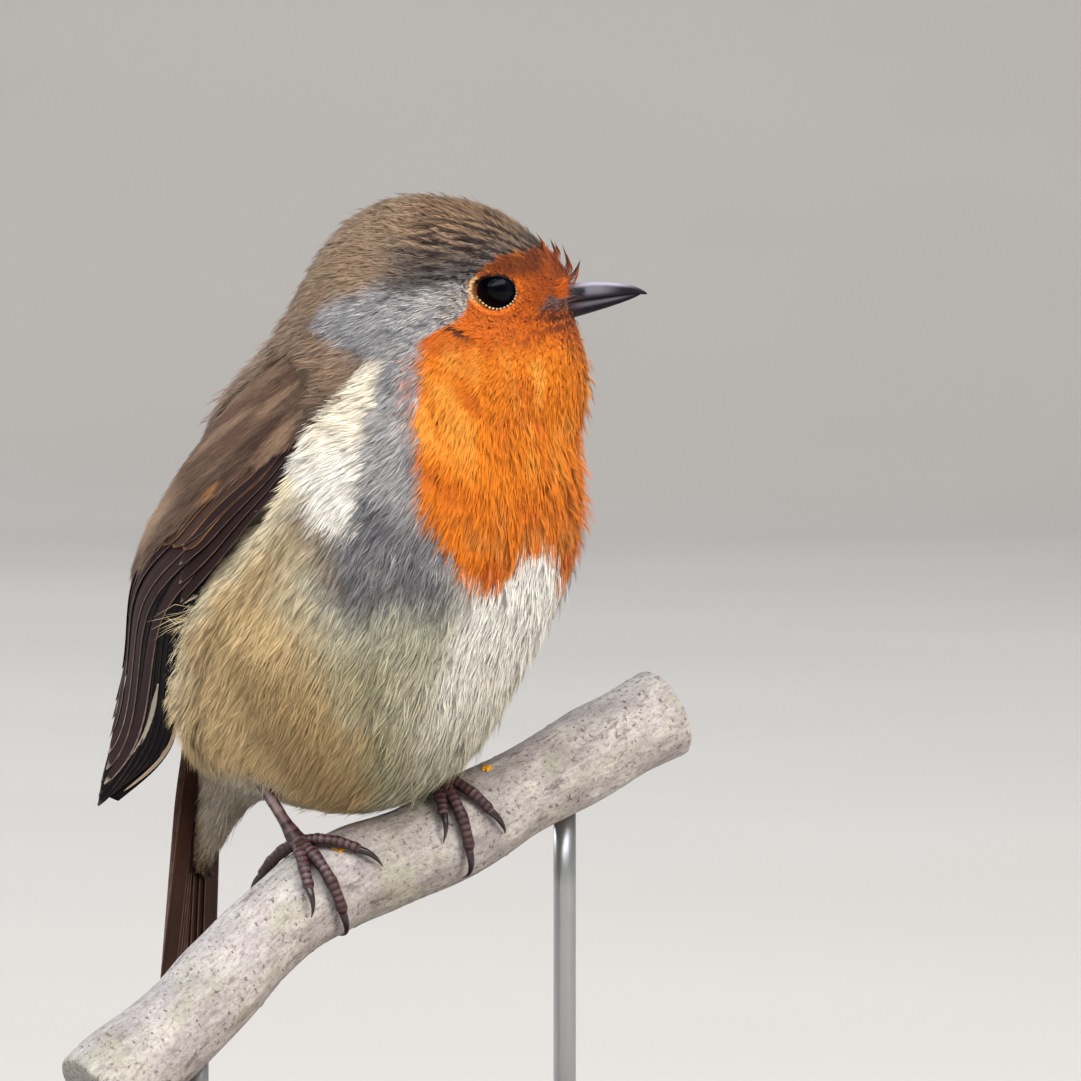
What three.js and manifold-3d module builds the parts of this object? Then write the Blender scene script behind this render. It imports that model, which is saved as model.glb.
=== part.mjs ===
// European robin on a cut length of branch, life size, held by a plain display stand.
// Millimetres, +Z up. The origin is the centre of the base's underside. +X and +Y follow the
// base's long and short sides; the bird faces between +X and -Y and looks along +X.
import * as THREE from 'three';
import { mergeVertices } from 'three/addons/utils/BufferGeometryUtils.js';
import Module from 'manifold-3d';

const wasm = await Module();
wasm.setup();

// ---------- driving dimensions ----------
const GAP = 0.3; // clear space between pieces that touch
const TRUNK_CENTRE = [0, 0, 97.3];
const TRUNK_YAW = -36; // degrees; the trunk faces between +X and -Y
const HEAD_CENTRE = [18.3, -5, 135.1]; // midway between the eyes
const HEAD_YAW = -6;
const HEAD_PITCH = 5; // the bill points a little up
const BLEND = 5; // how softly the plumage masses run into each other

const EYE = { radius: 3.4, forward: 0.2, side: 6.4, up: 0 };
const ORBIT = { side: 10.7, half: [4.3, 2.5, 3.7] }; // the shallow dish that each eye sits in
const BILL = { base: 8, tip: 20.6, baseUp: -2.3, tipUp: -1.7, halfDepth: 2.35, halfWidth: 2.5, lowerShort: 0.8 };
const TAIL = { length: 51, baseWidth: 11.5, tipWidth: 14, baseDepth: 3.4, tipDepth: 1.2, notch: 1.6 };
const WING = { thickness: 1.7, bulge: 5.2, covertsEnd: 0.4, secondariesEnd: 0.84 };
const LEG = { tarsus: 0.9, ankle: 1.3, toe: 0.85, claw: 0.62 };
const BRANCH_RADIUS = 6.55;
const BASE = { length: 124, width: 78, height: 8, corner: 12, bevel: 1.2 };
const ROD_RADIUS = 1.6;

// ---------- frames: forward, left, up of the trunk and of the head ----------
function frameAt(centre, yaw, pitch = 0) {
  const turn = new THREE.Euler(0, -THREE.MathUtils.degToRad(pitch), THREE.MathUtils.degToRad(yaw), 'ZYX');
  return new THREE.Matrix4().makeRotationFromEuler(turn).setPosition(...centre);
}
const TRUNK = frameAt(TRUNK_CENTRE, TRUNK_YAW);
const HEAD = frameAt(HEAD_CENTRE, HEAD_YAW, HEAD_PITCH);
const place = (frame, x, y, z) => new THREE.Vector3(x, y, z).applyMatrix4(frame);

// ---------- the plumage's outer form: ellipsoids that run softly into one another ----------
const MASSES = [
  { frame: TRUNK, at: [7.3, 0, 9], half: [23.2, 24.8, 29.5] }, // breast
  { frame: TRUNK, at: [-3.8, 0, -8.7], half: [24.4, 24.2, 27.3] }, // belly
  { frame: TRUNK, at: [-13.5, 0, -21], half: [16, 17.5, 12] }, // vent
  { frame: TRUNK, at: [-6.2, 0, 8.5], half: [21, 20, 23.5] }, // mantle
  { frame: TRUNK, at: [-19.5, 0, -11], half: [13, 14, 19] }, // rump
  { frame: TRUNK, at: [6.6, 0, 27], half: [20, 16.7, 17] }, // neck
  { frame: HEAD, at: [-13.9, 0, -2.1], half: [13.6, 12, 16.1] }, // nape
  { frame: HEAD, at: [-7.1, 0, 1.3], half: [13.6, 11.5, 12.1] }, // crown
  { frame: HEAD, at: [2.6, 0, -1.1], half: [7.5, 6.9, 6.3] }, // face
  { frame: HEAD, at: [2, 0, -12.4], half: [9.2, 9.2, 9.7] }, // throat
].map((mass) => ({ ...mass, inverse: mass.frame.clone().invert() }));

function ellipsoidDistance(point, mass) {
  const p = point.clone().applyMatrix4(mass.inverse).sub(new THREE.Vector3(...mass.at));
  const half = new THREE.Vector3(...mass.half);
  const near = p.clone().divide(half).length();
  const slope = p.divide(half).divide(half).length();
  return (near * (near - 1)) / Math.max(slope, 1e-9);
}

function softMin(a, b) {
  const overlap = Math.max(BLEND - Math.abs(a - b), 0) / BLEND;
  return Math.min(a, b) - (overlap * overlap * BLEND) / 4;
}

const plumage = (point) => MASSES.map((mass) => ellipsoidDistance(point, mass)).reduce(softMin);

// The plumage's surface where a ray from inside meets it
function surfaceAlong(origin, direction) {
  let inside = 0;
  let outside = 60;
  while (outside - inside > 0.01) {
    const middle = (inside + outside) / 2;
    if (plumage(origin.clone().addScaledVector(direction, middle)) < 0) inside = middle;
    else outside = middle;
  }
  return origin.clone().addScaledVector(direction, inside);
}

// ---------- closed meshes ----------
// A closed loft: ring i holds the points at(i / rings, j / sides); both ends close on their middle
function loft(rings, sides, at) {
  const points = [];
  const index = [];
  for (let i = 0; i <= rings; i++) {
    for (let j = 0; j < sides; j++) points.push(at(i / rings, j / sides));
  }
  const middle = (i) => {
    const sum = new THREE.Vector3();
    for (let j = 0; j < sides; j++) sum.add(points[i * sides + j]);
    return sum.divideScalar(sides);
  };
  points.push(middle(0), middle(rings));
  const first = points.length - 2;
  const last = points.length - 1;
  for (let j = 0; j < sides; j++) {
    const k = (j + 1) % sides;
    for (let i = 0; i < rings; i++) {
      const a = i * sides + j;
      const b = i * sides + k;
      index.push(a, b, b + sides, a, b + sides, a + sides);
    }
    index.push(first, k, j, last, rings * sides + j, rings * sides + k);
  }
  let volume = 0;
  for (let i = 0; i < index.length; i += 3) {
    const [a, b, c] = [0, 1, 2].map((k) => points[index[i + k]]);
    volume += a.dot(b.clone().cross(c)) / 6;
  }
  if (volume < 0) index.reverse(); // the faces point out whichever way the rings run
  const geometry = new THREE.BufferGeometry();
  geometry.setAttribute('position', new THREE.Float32BufferAttribute(points.flatMap((p) => p.toArray()), 3));
  geometry.setIndex(index);
  return geometry;
}

// A tube along a curve with a radius that may change; its sections stay square to the curve
function tube(curve, rings, sides, radius) {
  const frames = curve.computeFrenetFrames(rings);
  return loft(rings, sides, (u, v) => {
    const i = Math.round(u * rings);
    const turn = 2 * Math.PI * v;
    const r = radius(u);
    return curve.getPointAt(u)
      .addScaledVector(frames.normals[i], r * Math.cos(turn))
      .addScaledVector(frames.binormals[i], r * Math.sin(turn));
  });
}

function solid(geometry) {
  const bare = geometry.clone();
  bare.deleteAttribute('normal');
  bare.deleteAttribute('uv');
  const merged = mergeVertices(bare, 1e-4);
  const made = new wasm.Manifold(new wasm.Mesh({
    numProp: 3,
    vertProperties: Float32Array.from(merged.attributes.position.array),
    triVerts: Uint32Array.from(merged.index.array),
  }));
  if (made.volume() < 0) throw new Error('a solid is inside out');
  return made;
}

function geometryOf(made) {
  const mesh = made.getMesh();
  const geometry = new THREE.BufferGeometry();
  geometry.setAttribute('position', new THREE.Float32BufferAttribute(mesh.vertProperties, 3));
  geometry.setIndex(Array.from(mesh.triVerts));
  return geometry;
}

// A big block on the far side of a plane, for parting cuts
function beyond(point, normal, start) {
  const size = 200;
  const block = new THREE.BoxGeometry(size, size, size);
  block.translate(0, 0, size / 2 + start);
  const facing = new THREE.Quaternion().setFromUnitVectors(new THREE.Vector3(0, 0, 1), normal);
  block.applyQuaternion(facing);
  block.translate(point.x, point.y, point.z);
  return solid(block);
}

const smooth = (edge0, edge1, x) => THREE.MathUtils.smoothstep(x, edge0, edge1);
const lerp = THREE.MathUtils.lerp;

// ---------- materials ----------
const finish = (color, roughness, metalness = 0) => new THREE.MeshStandardMaterial({ color, roughness, metalness });
const FEATHER_HEAD = finish('#8a7663', 0.85);
const FEATHER_BREAST = finish('#dc7a24', 0.85);
const FEATHER_BODY = finish('#a8a391', 0.85);
const FEATHER_WING = finish('#5d4b43', 0.7);
const FEATHER_TAIL = finish('#5a463f', 0.7);
const HORN = finish('#2e2c36', 0.35);
const EYE_BLACK = finish('#07070b', 0.05);
const LEG_SKIN = finish('#3e2c2f', 0.5);
const BARK = finish('#b7a9a2', 0.9);
const WOOD = finish('#4a3427', 0.45);
const STEEL = finish('#8d9094', 0.3, 1);

const robin = new THREE.Group();
function add(name, geometry, material) {
  const mesh = new THREE.Mesh(geometry, material);
  mesh.name = name;
  robin.add(mesh);
}

// ---------- bill: two halves, each a tapering loft with a flat biting face ----------
function billHalf(sign, grow) {
  return loft(7, 10, (u, v) => {
    const taper = Math.pow(1 - u, sign > 0 ? 0.8 : 0.95);
    const across = -Math.cos(Math.PI * 2 * v) * (BILL.halfWidth * Math.pow(1 - u, 1.15) + 0.3 + grow);
    const arch = sign * Math.sin(Math.PI * 2 * v);
    const depth = arch > 1e-6 ? arch * (BILL.halfDepth * taper + 0.3 + grow) + GAP / 2 : GAP / 2 - grow;
    const x = lerp(BILL.base, BILL.tip - (sign > 0 ? 0 : BILL.lowerShort), u) + grow * (u > 0.5 ? 1 : -1);
    const bite = lerp(BILL.baseUp, BILL.tipUp, (x - BILL.base) / (BILL.tip - BILL.base));
    return place(HEAD, x, across, bite + sign * depth);
  });
}
add('bill_upper', billHalf(1, 0), HORN);
add('bill_lower', billHalf(-1, 0), HORN);

// ---------- eyes ----------
function eyeBall(side, grow) {
  const ball = new THREE.SphereGeometry(EYE.radius + grow, 12, 8);
  ball.applyMatrix4(new THREE.Matrix4().makeTranslation(EYE.forward, side * EYE.side, EYE.up));
  ball.applyMatrix4(HEAD);
  return ball;
}
function orbit(side) {
  const dish = new THREE.SphereGeometry(1, 13, 9);
  dish.scale(...ORBIT.half);
  dish.translate(EYE.forward, side * ORBIT.side, EYE.up);
  dish.applyMatrix4(HEAD);
  return dish;
}
add('eye_left', eyeBall(1, 0), EYE_BLACK);
add('eye_right', eyeBall(-1, 0), EYE_BLACK);

// ---------- wings: a bowed plate between the lower and the upper edge of the folded wing ----------
// Both edges run from the shoulder to the tip: forward, outward, up from the trunk's centre
const LOWER_EDGE = new THREE.CatmullRomCurve3([
  new THREE.Vector3(10, 17, 25),
  new THREE.Vector3(4, 23.2, 14),
  new THREE.Vector3(-5, 25.6, 3),
  new THREE.Vector3(-16, 23, -8),
  new THREE.Vector3(-26, 13.5, -27),
  new THREE.Vector3(-38, 14, -36.4),
]);
const UPPER_EDGE = new THREE.CatmullRomCurve3([
  new THREE.Vector3(-3, 12, 31),
  new THREE.Vector3(-17.5, 10.5, 20),
  new THREE.Vector3(-29, 9, 5),
  new THREE.Vector3(-34.5, 8, -9),
  new THREE.Vector3(-38, 10.5, -22),
  new THREE.Vector3(-39.6, 13.6, -35.4),
]);

function wingPoint(side, s, t, lift) {
  const p = LOWER_EDGE.getPointAt(s).lerp(UPPER_EDGE.getPointAt(s), t);
  const out = new THREE.Vector2(p.x + 4, p.y).normalize();
  const bow = WING.bulge * Math.pow(Math.sin(Math.PI * Math.pow(s, 0.8)), 0.8) * Math.sin(Math.PI * t);
  return place(TRUNK, p.x + out.x * (bow + lift), side * (p.y + out.y * (bow + lift)), p.z);
}

// Where the secondaries give way to the primaries, across the wing
const wingSplit = (s) => lerp(0.42, 1, Math.pow((s - WING.covertsEnd) / (WING.secondariesEnd - WING.covertsEnd), 1.5));

// A region of the wing plate from s0 to s1 and from edge t0(s) to t1(s), as a thin closed shell
function wingPlate(side, s0, s1, t0, t1, rings, inner, outer) {
  const sides = 14;
  return loft(rings, sides, (u, v) => {
    const s = lerp(s0, s1, u);
    const around = 2 * Math.PI * (side > 0 ? v : 1 - v);
    const across = (1 - Math.cos(around)) / 2;
    const rim = Math.sin(around);
    const lift = rim > 0 ? outer * Math.sqrt(rim) : -inner * Math.sqrt(-rim);
    return wingPoint(side, s, lerp(t0(s), t1(s), across), lift);
  });
}

const half = WING.thickness / 2;
for (const [name, side] of [['left', 1], ['right', -1]]) {
  const cut = 0.006; // half of the thin cut between wing regions, as a share of its length
  add(`wing_${name}_coverts`, wingPlate(side, 0.012, WING.covertsEnd - cut, () => 0, () => 1, 7, half, half), FEATHER_WING);
  add(`wing_${name}_secondaries`, wingPlate(side, WING.covertsEnd, WING.secondariesEnd - 0.03,
    (s) => wingSplit(s) + 0.03, () => 1, 7, half, half), FEATHER_WING);
  add(`wing_${name}_primaries`, wingPlate(side, WING.covertsEnd, 0.99,
    () => 0, (s) => (s < WING.secondariesEnd ? wingSplit(s) - 0.01 : 1), 10, half, half), FEATHER_WING);
}
const wingPocket = (side) => solid(wingPlate(side, 0, 1, () => -0.02, () => 1.02, 16, half + GAP + 0.3, 14));

// ---------- tail and the feathers under its root ----------
const TAIL_LINE = new THREE.LineCurve3(place(TRUNK, -29, 0, -15), place(TRUNK, -33.9, 0, -66));
const backward = new THREE.Vector3(-1, 0, 0).transformDirection(TRUNK);
const leftward = new THREE.Vector3(0, 1, 0).transformDirection(TRUNK);

function tailPlate(grow) {
  return loft(11, 12, (u, v) => {
    const turn = 2 * Math.PI * v;
    const rounded = Math.sqrt(Math.max(0, 1 - Math.pow(Math.max(0, u - 0.93) / 0.075, 2)));
    const width = (lerp(TAIL.baseWidth, TAIL.tipWidth, smooth(0, 0.8, u)) / 2) * lerp(0.75, 1, rounded) + grow;
    const depth = lerp(TAIL.baseDepth, TAIL.tipDepth, smooth(0, 0.9, u)) / 2 + grow;
    const across = Math.cos(turn);
    const roof = 1.6 * (1 - across * across) * (1 - 0.6 * u); // the middle feathers lie on top
    const p = TAIL_LINE.getPoint(u + (u > 0.5 ? grow : -grow) / TAIL.length);
    p.addScaledVector(leftward, width * across);
    p.addScaledVector(backward, depth * Math.sin(turn) + roof);
    if (u > 0.97) p.z += TAIL.notch * (1 - Math.abs(across));
    return p;
  });
}

const UNDERTAIL_LINE = new THREE.CatmullRomCurve3([
  place(TRUNK, -15, 0, -20),
  place(TRUNK, -22.5, 0, -28.5),
  place(TRUNK, -27.2, 0, -36),
  place(TRUNK, -30.4, 0, -44.5),
]);
const underTail = tube(UNDERTAIL_LINE, 8, 12, (u) => lerp(9.5, 1.2, Math.pow(u, 0.8)));

// ---------- body: one form, parted into head, neck, trunk and vent by thin cuts ----------
const HEAD_CORE = place(HEAD, -6, 0, -2);
const TRUNK_CORE = place(TRUNK, -6, 0, -9);
const bodyForm = loft(32, 30, (u, v) => {
  const rise = (0.49 - 0.98 * u) * Math.PI;
  const core = HEAD_CORE.clone().lerp(TRUNK_CORE, smooth(0.22, 0.8, u));
  const turn = 2 * Math.PI * v;
  return surfaceAlong(core, new THREE.Vector3(
    Math.cos(rise) * Math.cos(turn),
    Math.cos(rise) * Math.sin(turn),
    Math.sin(rise),
  ));
});

const NECK_NORMAL = new THREE.Vector3(0.445, 0, 0.895).normalize();
const HEAD_CUT = new THREE.Vector3(10.7, 0, 129.5);
const TRUNK_CUT = new THREE.Vector3(7.3, 0, 117.5);
const VENT_NORMAL = new THREE.Vector3(-0.5, 0, -0.866).transformDirection(TRUNK);
const VENT_CUT = place(TRUNK, -19, 0, -30);
const reverse = (v) => v.clone().negate();

let body = solid(bodyForm).add(solid(underTail));
for (const side of [1, -1]) {
  body = body.subtract(wingPocket(side)).subtract(solid(orbit(side))).subtract(solid(eyeBall(side, GAP)));
}
body = body.subtract(solid(tailPlate(GAP)));
body = body.subtract(solid(billHalf(1, GAP)).add(solid(billHalf(-1, GAP))));

// ---------- branch ----------
const BRANCH_LINE = new THREE.CatmullRomCurve3([
  new THREE.Vector3(-38.5, -21.2, 23.2),
  new THREE.Vector3(-25.5, -14, 33.9),
  new THREE.Vector3(-14.3, -7.9, 45.6),
  new THREE.Vector3(-5.5, -3, 51.6),
  new THREE.Vector3(6.9, 3.8, 56.4),
  new THREE.Vector3(21.1, 11.6, 63.9),
  new THREE.Vector3(34.9, 19.2, 71.3),
  new THREE.Vector3(41.5, 22.8, 74.6),
]);
const BRANCH_LENGTH = BRANCH_LINE.getLength();
const branchRadius = (u) => BRANCH_RADIUS * (1 + 0.035 * Math.sin(13 * u + 0.6) + 0.03 * Math.sin(31 * u));

// A point round the branch: turn 0 is its top, a quarter turn its front
function onBranch(u, turn, lift) {
  const along = BRANCH_LINE.getTangentAt(u);
  const front = along.clone().cross(new THREE.Vector3(0, 0, 1)).normalize();
  const top = front.clone().cross(along);
  return BRANCH_LINE.getPointAt(u)
    .addScaledVector(top, (branchRadius(u) + lift) * Math.cos(turn))
    .addScaledVector(front, (branchRadius(u) + lift) * Math.sin(turn));
}
const branchShape = (lift) => loft(24, 12, (u, v) => onBranch(u, 2 * Math.PI * v, lift));
add('perch', branchShape(0), BARK);
// The belly's feathers part round the branch and the toes on it
body = body.subtract(solid(branchShape(2 * (LEG.toe + GAP) + 0.25)));

// ---------- legs: tarsus, foot with four toes, and claws ----------
// Each toe: its heading from the branch's axis in degrees, its length and its claw's length
const FEET = {
  right: {
    at: 0.427,
    turn: -0.02,
    toes: { inner: [56, 9, 3.4], middle: [96, 14.5, 4.2], outer: [116, 9.5, 3.4], hind: [232, 7.5, 5] },
  },
  left: {
    at: 0.648,
    turn: -0.02,
    toes: { inner: [120, 8.5, 3.4], middle: [103, 14, 4.2], outer: [76, 10.5, 3.6], hind: [268, 7.5, 5] },
  },
};
const TARSUS = new THREE.Vector3(-15.5, 0, 19.6); // from the foot to the heel: forward, left, up
const ANKLE_LIFT = LEG.ankle + GAP;

// A point on a toe that sets out from the foot and winds round the branch
function onToe(foot, heading, distance, lift) {
  const angle = THREE.MathUtils.degToRad(heading);
  const u = foot.at + (distance * Math.cos(angle)) / BRANCH_LENGTH;
  const turn = foot.turn + (distance * Math.sin(angle)) / (BRANCH_RADIUS + LEG.toe);
  return onBranch(u, turn, lift);
}

function toeShape(foot, [heading, length]) {
  const knuckles = [0, 0.2, 0.4, 0.6, 0.8, 1].map((u) => onToe(foot, heading, u * length, LEG.toe + GAP + 0.12));
  return tube(new THREE.CatmullRomCurve3(knuckles), 6, 6, (u) => LEG.toe * lerp(1.08, 0.86, u));
}

function clawShape(foot, [heading, length, claw]) {
  const steps = [0, 0.33, 0.66, 1].map((u) => {
    const lift = lerp(LEG.toe + GAP + 0.12, GAP + 0.1, u) + 0.7 * Math.sin(Math.PI * u);
    return onToe(foot, heading, length + GAP + 0.08 + u * claw, lift);
  });
  return tube(new THREE.CatmullRomCurve3(steps), 4, 6, (u) => lerp(LEG.claw, 0.12, Math.pow(u, 1.3)));
}

function shank(foot, radius, start, reach) {
  const ankle = onBranch(foot.at, foot.turn, ANKLE_LIFT);
  const rise = TARSUS.clone().transformDirection(TRUNK);
  const line = new THREE.LineCurve3(
    ankle.clone().addScaledVector(rise, start),
    ankle.clone().addScaledVector(rise, TARSUS.length() * reach),
  );
  return tube(line, 5, 8, (u) => radius * (1 + 0.18 * Math.pow(2 * u - 1, 2)));
}

function footPad(foot, grow) {
  const pad = new THREE.SphereGeometry(LEG.ankle + grow, 8, 6);
  pad.translate(...onBranch(foot.at, foot.turn, ANKLE_LIFT).toArray());
  return pad;
}

for (const [name, foot] of Object.entries(FEET)) {
  let paw = solid(footPad(foot, 0));
  for (const [toeName, toe] of Object.entries(foot.toes)) {
    paw = paw.add(solid(toeShape(foot, toe)));
    add(`claw_${name}_${toeName}`, clawShape(foot, toe), HORN);
  }
  add(`foot_${name}`, geometryOf(paw), LEG_SKIN);
  add(`leg_${name}`, shank(foot, LEG.tarsus, LEG.ankle + GAP, 0.86), LEG_SKIN);
  body = body.subtract(solid(shank(foot, LEG.tarsus + GAP + 0.1, -LEG.ankle - 1, 0.9)));
  body = body.subtract(solid(footPad(foot, GAP)));
}

// ---------- the parted body ----------
const overHead = beyond(HEAD_CUT, NECK_NORMAL, GAP / 2);
const underHead = beyond(HEAD_CUT, reverse(NECK_NORMAL), GAP / 2);
const overNeck = beyond(TRUNK_CUT, NECK_NORMAL, GAP / 2);
const underNeck = beyond(TRUNK_CUT, reverse(NECK_NORMAL), GAP / 2);
const pastVent = beyond(VENT_CUT, VENT_NORMAL, GAP / 2);
const aboveVent = beyond(VENT_CUT, reverse(VENT_NORMAL), GAP / 2);
add('head', geometryOf(body.intersect(overHead)), FEATHER_HEAD);
add('neck', geometryOf(body.intersect(underHead).intersect(overNeck)), FEATHER_BREAST);
add('trunk', geometryOf(body.intersect(underNeck).intersect(aboveVent)), FEATHER_BODY);
add('undertail', geometryOf(body.intersect(pastVent)), FEATHER_BODY);
add('tail', tailPlate(0), FEATHER_TAIL);

// ---------- display stand ----------
function standBase() {
  const { length, width, height, corner, bevel } = BASE;
  const outline = new THREE.Shape();
  const [x, y] = [length / 2 - bevel, width / 2 - bevel];
  outline.absarc(x - corner, y - corner, corner, 0, Math.PI / 2);
  outline.absarc(corner - x, y - corner, corner, Math.PI / 2, Math.PI);
  outline.absarc(corner - x, corner - y, corner, Math.PI, 1.5 * Math.PI);
  outline.absarc(x - corner, corner - y, corner, 1.5 * Math.PI, 2 * Math.PI);
  const slab = new THREE.ExtrudeGeometry(outline, {
    depth: height - 2 * bevel, bevelEnabled: true, bevelSize: bevel, bevelThickness: bevel, bevelSegments: 1,
    curveSegments: 4,
  });
  slab.translate(0, 0, bevel);
  return slab;
}
add('stand_base', geometryOf(solid(standBase())), WOOD);

// Each rod stands on the base and stops just short of the branch above it
for (const [name, u] of [['stand_rod_lower', 0.19], ['stand_rod_upper', 0.83]]) {
  const under = BRANCH_LINE.getPointAt(u);
  const bottom = BASE.height + GAP;
  const reachUp = under.z - bottom;
  const rod = new THREE.CylinderGeometry(ROD_RADIUS, ROD_RADIUS, reachUp, 12);
  rod.rotateX(Math.PI / 2);
  rod.translate(under.x, under.y, bottom + reachUp / 2);
  add(name, geometryOf(solid(rod).subtract(solid(branchShape(GAP)))), STEEL);
}

export default robin;
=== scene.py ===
# European robin on a cut length of branch, life size, over a plain display stand.
# Shapes are worked out in millimetres in the part's own frame and go into meshes in metres.
import math

import bpy
import numpy as np
from mathutils import Matrix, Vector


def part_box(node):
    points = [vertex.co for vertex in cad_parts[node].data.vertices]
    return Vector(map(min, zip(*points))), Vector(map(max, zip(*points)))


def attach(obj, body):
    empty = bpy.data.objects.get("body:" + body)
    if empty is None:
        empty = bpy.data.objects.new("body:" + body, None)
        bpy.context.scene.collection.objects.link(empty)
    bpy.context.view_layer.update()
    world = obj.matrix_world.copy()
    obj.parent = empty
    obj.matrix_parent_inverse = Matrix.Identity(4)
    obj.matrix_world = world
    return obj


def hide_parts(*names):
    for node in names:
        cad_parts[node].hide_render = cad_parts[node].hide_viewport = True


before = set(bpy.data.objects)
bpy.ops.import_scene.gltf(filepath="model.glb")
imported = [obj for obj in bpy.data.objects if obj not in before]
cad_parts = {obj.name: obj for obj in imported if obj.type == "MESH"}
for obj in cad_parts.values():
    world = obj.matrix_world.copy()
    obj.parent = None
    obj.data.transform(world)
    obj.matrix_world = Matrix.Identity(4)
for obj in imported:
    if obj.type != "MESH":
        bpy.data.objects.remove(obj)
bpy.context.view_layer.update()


# small helpers
def unit(v):
    # each vector over its own length
    return v / np.maximum(np.linalg.norm(v, axis=-1, keepdims=True), 1e-9)


def smooth(low, high, x):
    # 0 before low, 1 past high, and a soft step between them; low may be the larger one
    t = np.clip((np.asarray(x, float) - low) / (high - low), 0.0, 1.0)
    return t * t * (3 - 2 * t)


def mix(a, b, t):
    # the share t of the way from a to b
    return a + (b - a) * t


def linear(hexColour):
    # an sRGB hex colour as linear red, green and blue by the sRGB curve, and full alpha
    parts = np.array([int(hexColour[i:i + 2], 16) / 255 for i in (1, 3, 5)])
    parts = np.where(parts <= 0.04045, parts / 12.92, ((parts + 0.055) / 1.055) ** 2.4)
    return (*parts.tolist(), 1.0)


def tones(colours):
    # named hex colours as linear red, green and blue that can be mixed
    return {name: np.array(linear(value)[:3]) for name, value in colours.items()}


def together(*parts):
    # x, y and z arrays spread to one shape, as points
    return np.stack(np.broadcast_arrays(*parts), -1)


def circle(count):
    # even angles round a whole turn
    return 2 * math.pi * np.arange(count) / count


def readOff(line, place):
    # the value at a place on a bent line of (place, value) points, level past both ends
    return np.interp(place, *np.transpose(line))


def capped(values):
    # the colours of a closed tube's rings, with those of the middles of its two ends
    values = values.reshape(-1, 3)
    return np.vstack([values, values[:1], values[-1:]])


def wobble(p, size, seed=0.0):
    # a slow uneven wave through space from -1 to 1: sines along slanted directions, size mm apart
    k = 2 * math.pi / size
    x, y, z = (p[..., i] * k for i in range(3))
    a = np.sin(0.8 * x + 0.45 * z + 1.7 * np.sin(0.5 * y + seed) + seed)
    b = np.sin(0.7 * y - 0.6 * z + 1.5 * np.sin(0.6 * x - seed) + 2.1 * seed + 1)
    c = np.sin(0.9 * z + 0.5 * x - 0.4 * y + 1.3 * np.sin(0.7 * z + 0.3 * x + seed) + 4)
    return (a + b + c) / 3


class Frame:
    # forward, left and up directions about a centre, turned left by yaw and with the front raised by pitch
    def __init__(self, centre, yaw, pitch=0.0):
        a, b = math.radians(yaw), math.radians(pitch)
        self.centre = np.array(centre, float)
        self.axes = np.array([
            [math.cos(b) * math.cos(a), math.cos(b) * math.sin(a), math.sin(b)],
            [-math.sin(a), math.cos(a), 0.0],
            [-math.sin(b) * math.cos(a), -math.sin(b) * math.sin(a), math.cos(b)],
        ])

    def world(self, *p):
        # a point given in this frame, as one array or as x, y and z
        p = together(*p) if len(p) == 3 else p[0]
        return self.centre + np.asarray(p, float) @ self.axes

    def turn(self, *v):
        # the same for a direction
        v = together(*v) if len(v) == 3 else v[0]
        return np.asarray(v, float) @ self.axes

    def local(self, p):
        # the way back
        return (p - self.centre) @ self.axes.T


def smoothCurve(points, steps=60):
    # a centripetal Catmull-Rom curve through the points, given by its share of the whole length
    p = np.array(points, float)
    p = np.vstack([2 * p[0] - p[1], p, 2 * p[-1] - p[-2]])
    rows = []
    w = np.linspace(0, 1, steps, endpoint=False)[:, None]
    for a, b, c, d in zip(p[:-3], p[1:-2], p[2:-1], p[3:]):
        ab, bc, cd = (math.sqrt(np.linalg.norm(v)) for v in (b - a, c - b, d - c))
        leave = ((b - a) / ab - (c - a) / (ab + bc) + (c - b) / bc) * bc
        reach = ((c - b) / bc - (d - b) / (bc + cd) + (d - c) / cd) * bc
        rows.append(b + leave * w + (3 * (c - b) - 2 * leave - reach) * w ** 2
                    + (2 * (b - c) + leave + reach) * w ** 3)
    rows.append(p[-2][None])
    dense = np.vstack(rows)
    run = np.concatenate([[0], np.cumsum(np.linalg.norm(np.diff(dense, axis=0), axis=1))])

    def at(u):
        u = np.asarray(u, float)
        return np.stack([np.interp(u * run[-1], run, dense[:, k]) for k in range(3)], -1)
    at.length = run[-1]
    return at


def tangentOf(curve, u, step=0.004):
    # the direction between the points a step before and a step after
    return unit(curve(np.clip(u + step, 0, 1)) - curve(np.clip(u - step, 0, 1)))


# meshes from arrays
def gridFaces(rows, columns, wrap=False):
    # quads of a grid of points in row order; wrap joins the last column to the first
    i, j = np.meshgrid(np.arange(rows - 1), np.arange(columns if wrap else columns - 1), indexing="ij")
    k = (j + 1) % columns
    a, b, c, d = (r * columns + s for r, s in ((i, j), (i, k), (i + 1, k), (i + 1, j)))
    return np.stack([a, b, c, d], -1).reshape(-1, 4)


def closedTube(rings):
    # rings: rows x columns x 3, each row a closed ring; both ends close on their middle, faces outward
    rows, columns = rings.shape[:2]
    points = np.vstack([rings.reshape(-1, 3), rings[0].mean(0), rings[-1].mean(0)])
    first, last = rows * columns, rows * columns + 1
    j = np.arange(columns)
    k = (j + 1) % columns
    capA = np.stack([np.full(columns, first), k, j], -1)
    capB = np.stack([np.full(columns, last), (rows - 1) * columns + j, (rows - 1) * columns + k], -1)
    return points, outward(points, [gridFaces(rows, columns, True), np.vstack([capA, capB])])


def signedVolume(points, faces):
    # a sixth of the sum of each triangle's corner a times b cross c; less than 0 if it is inside out
    total = 0.0
    for block in faces:
        for k in range(1, block.shape[1] - 1):
            a, b, c = points[block[:, 0]], points[block[:, k]], points[block[:, k + 1]]
            total += np.einsum("ij,ij->i", a, np.cross(b, c)).sum() / 6
    return total


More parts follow.
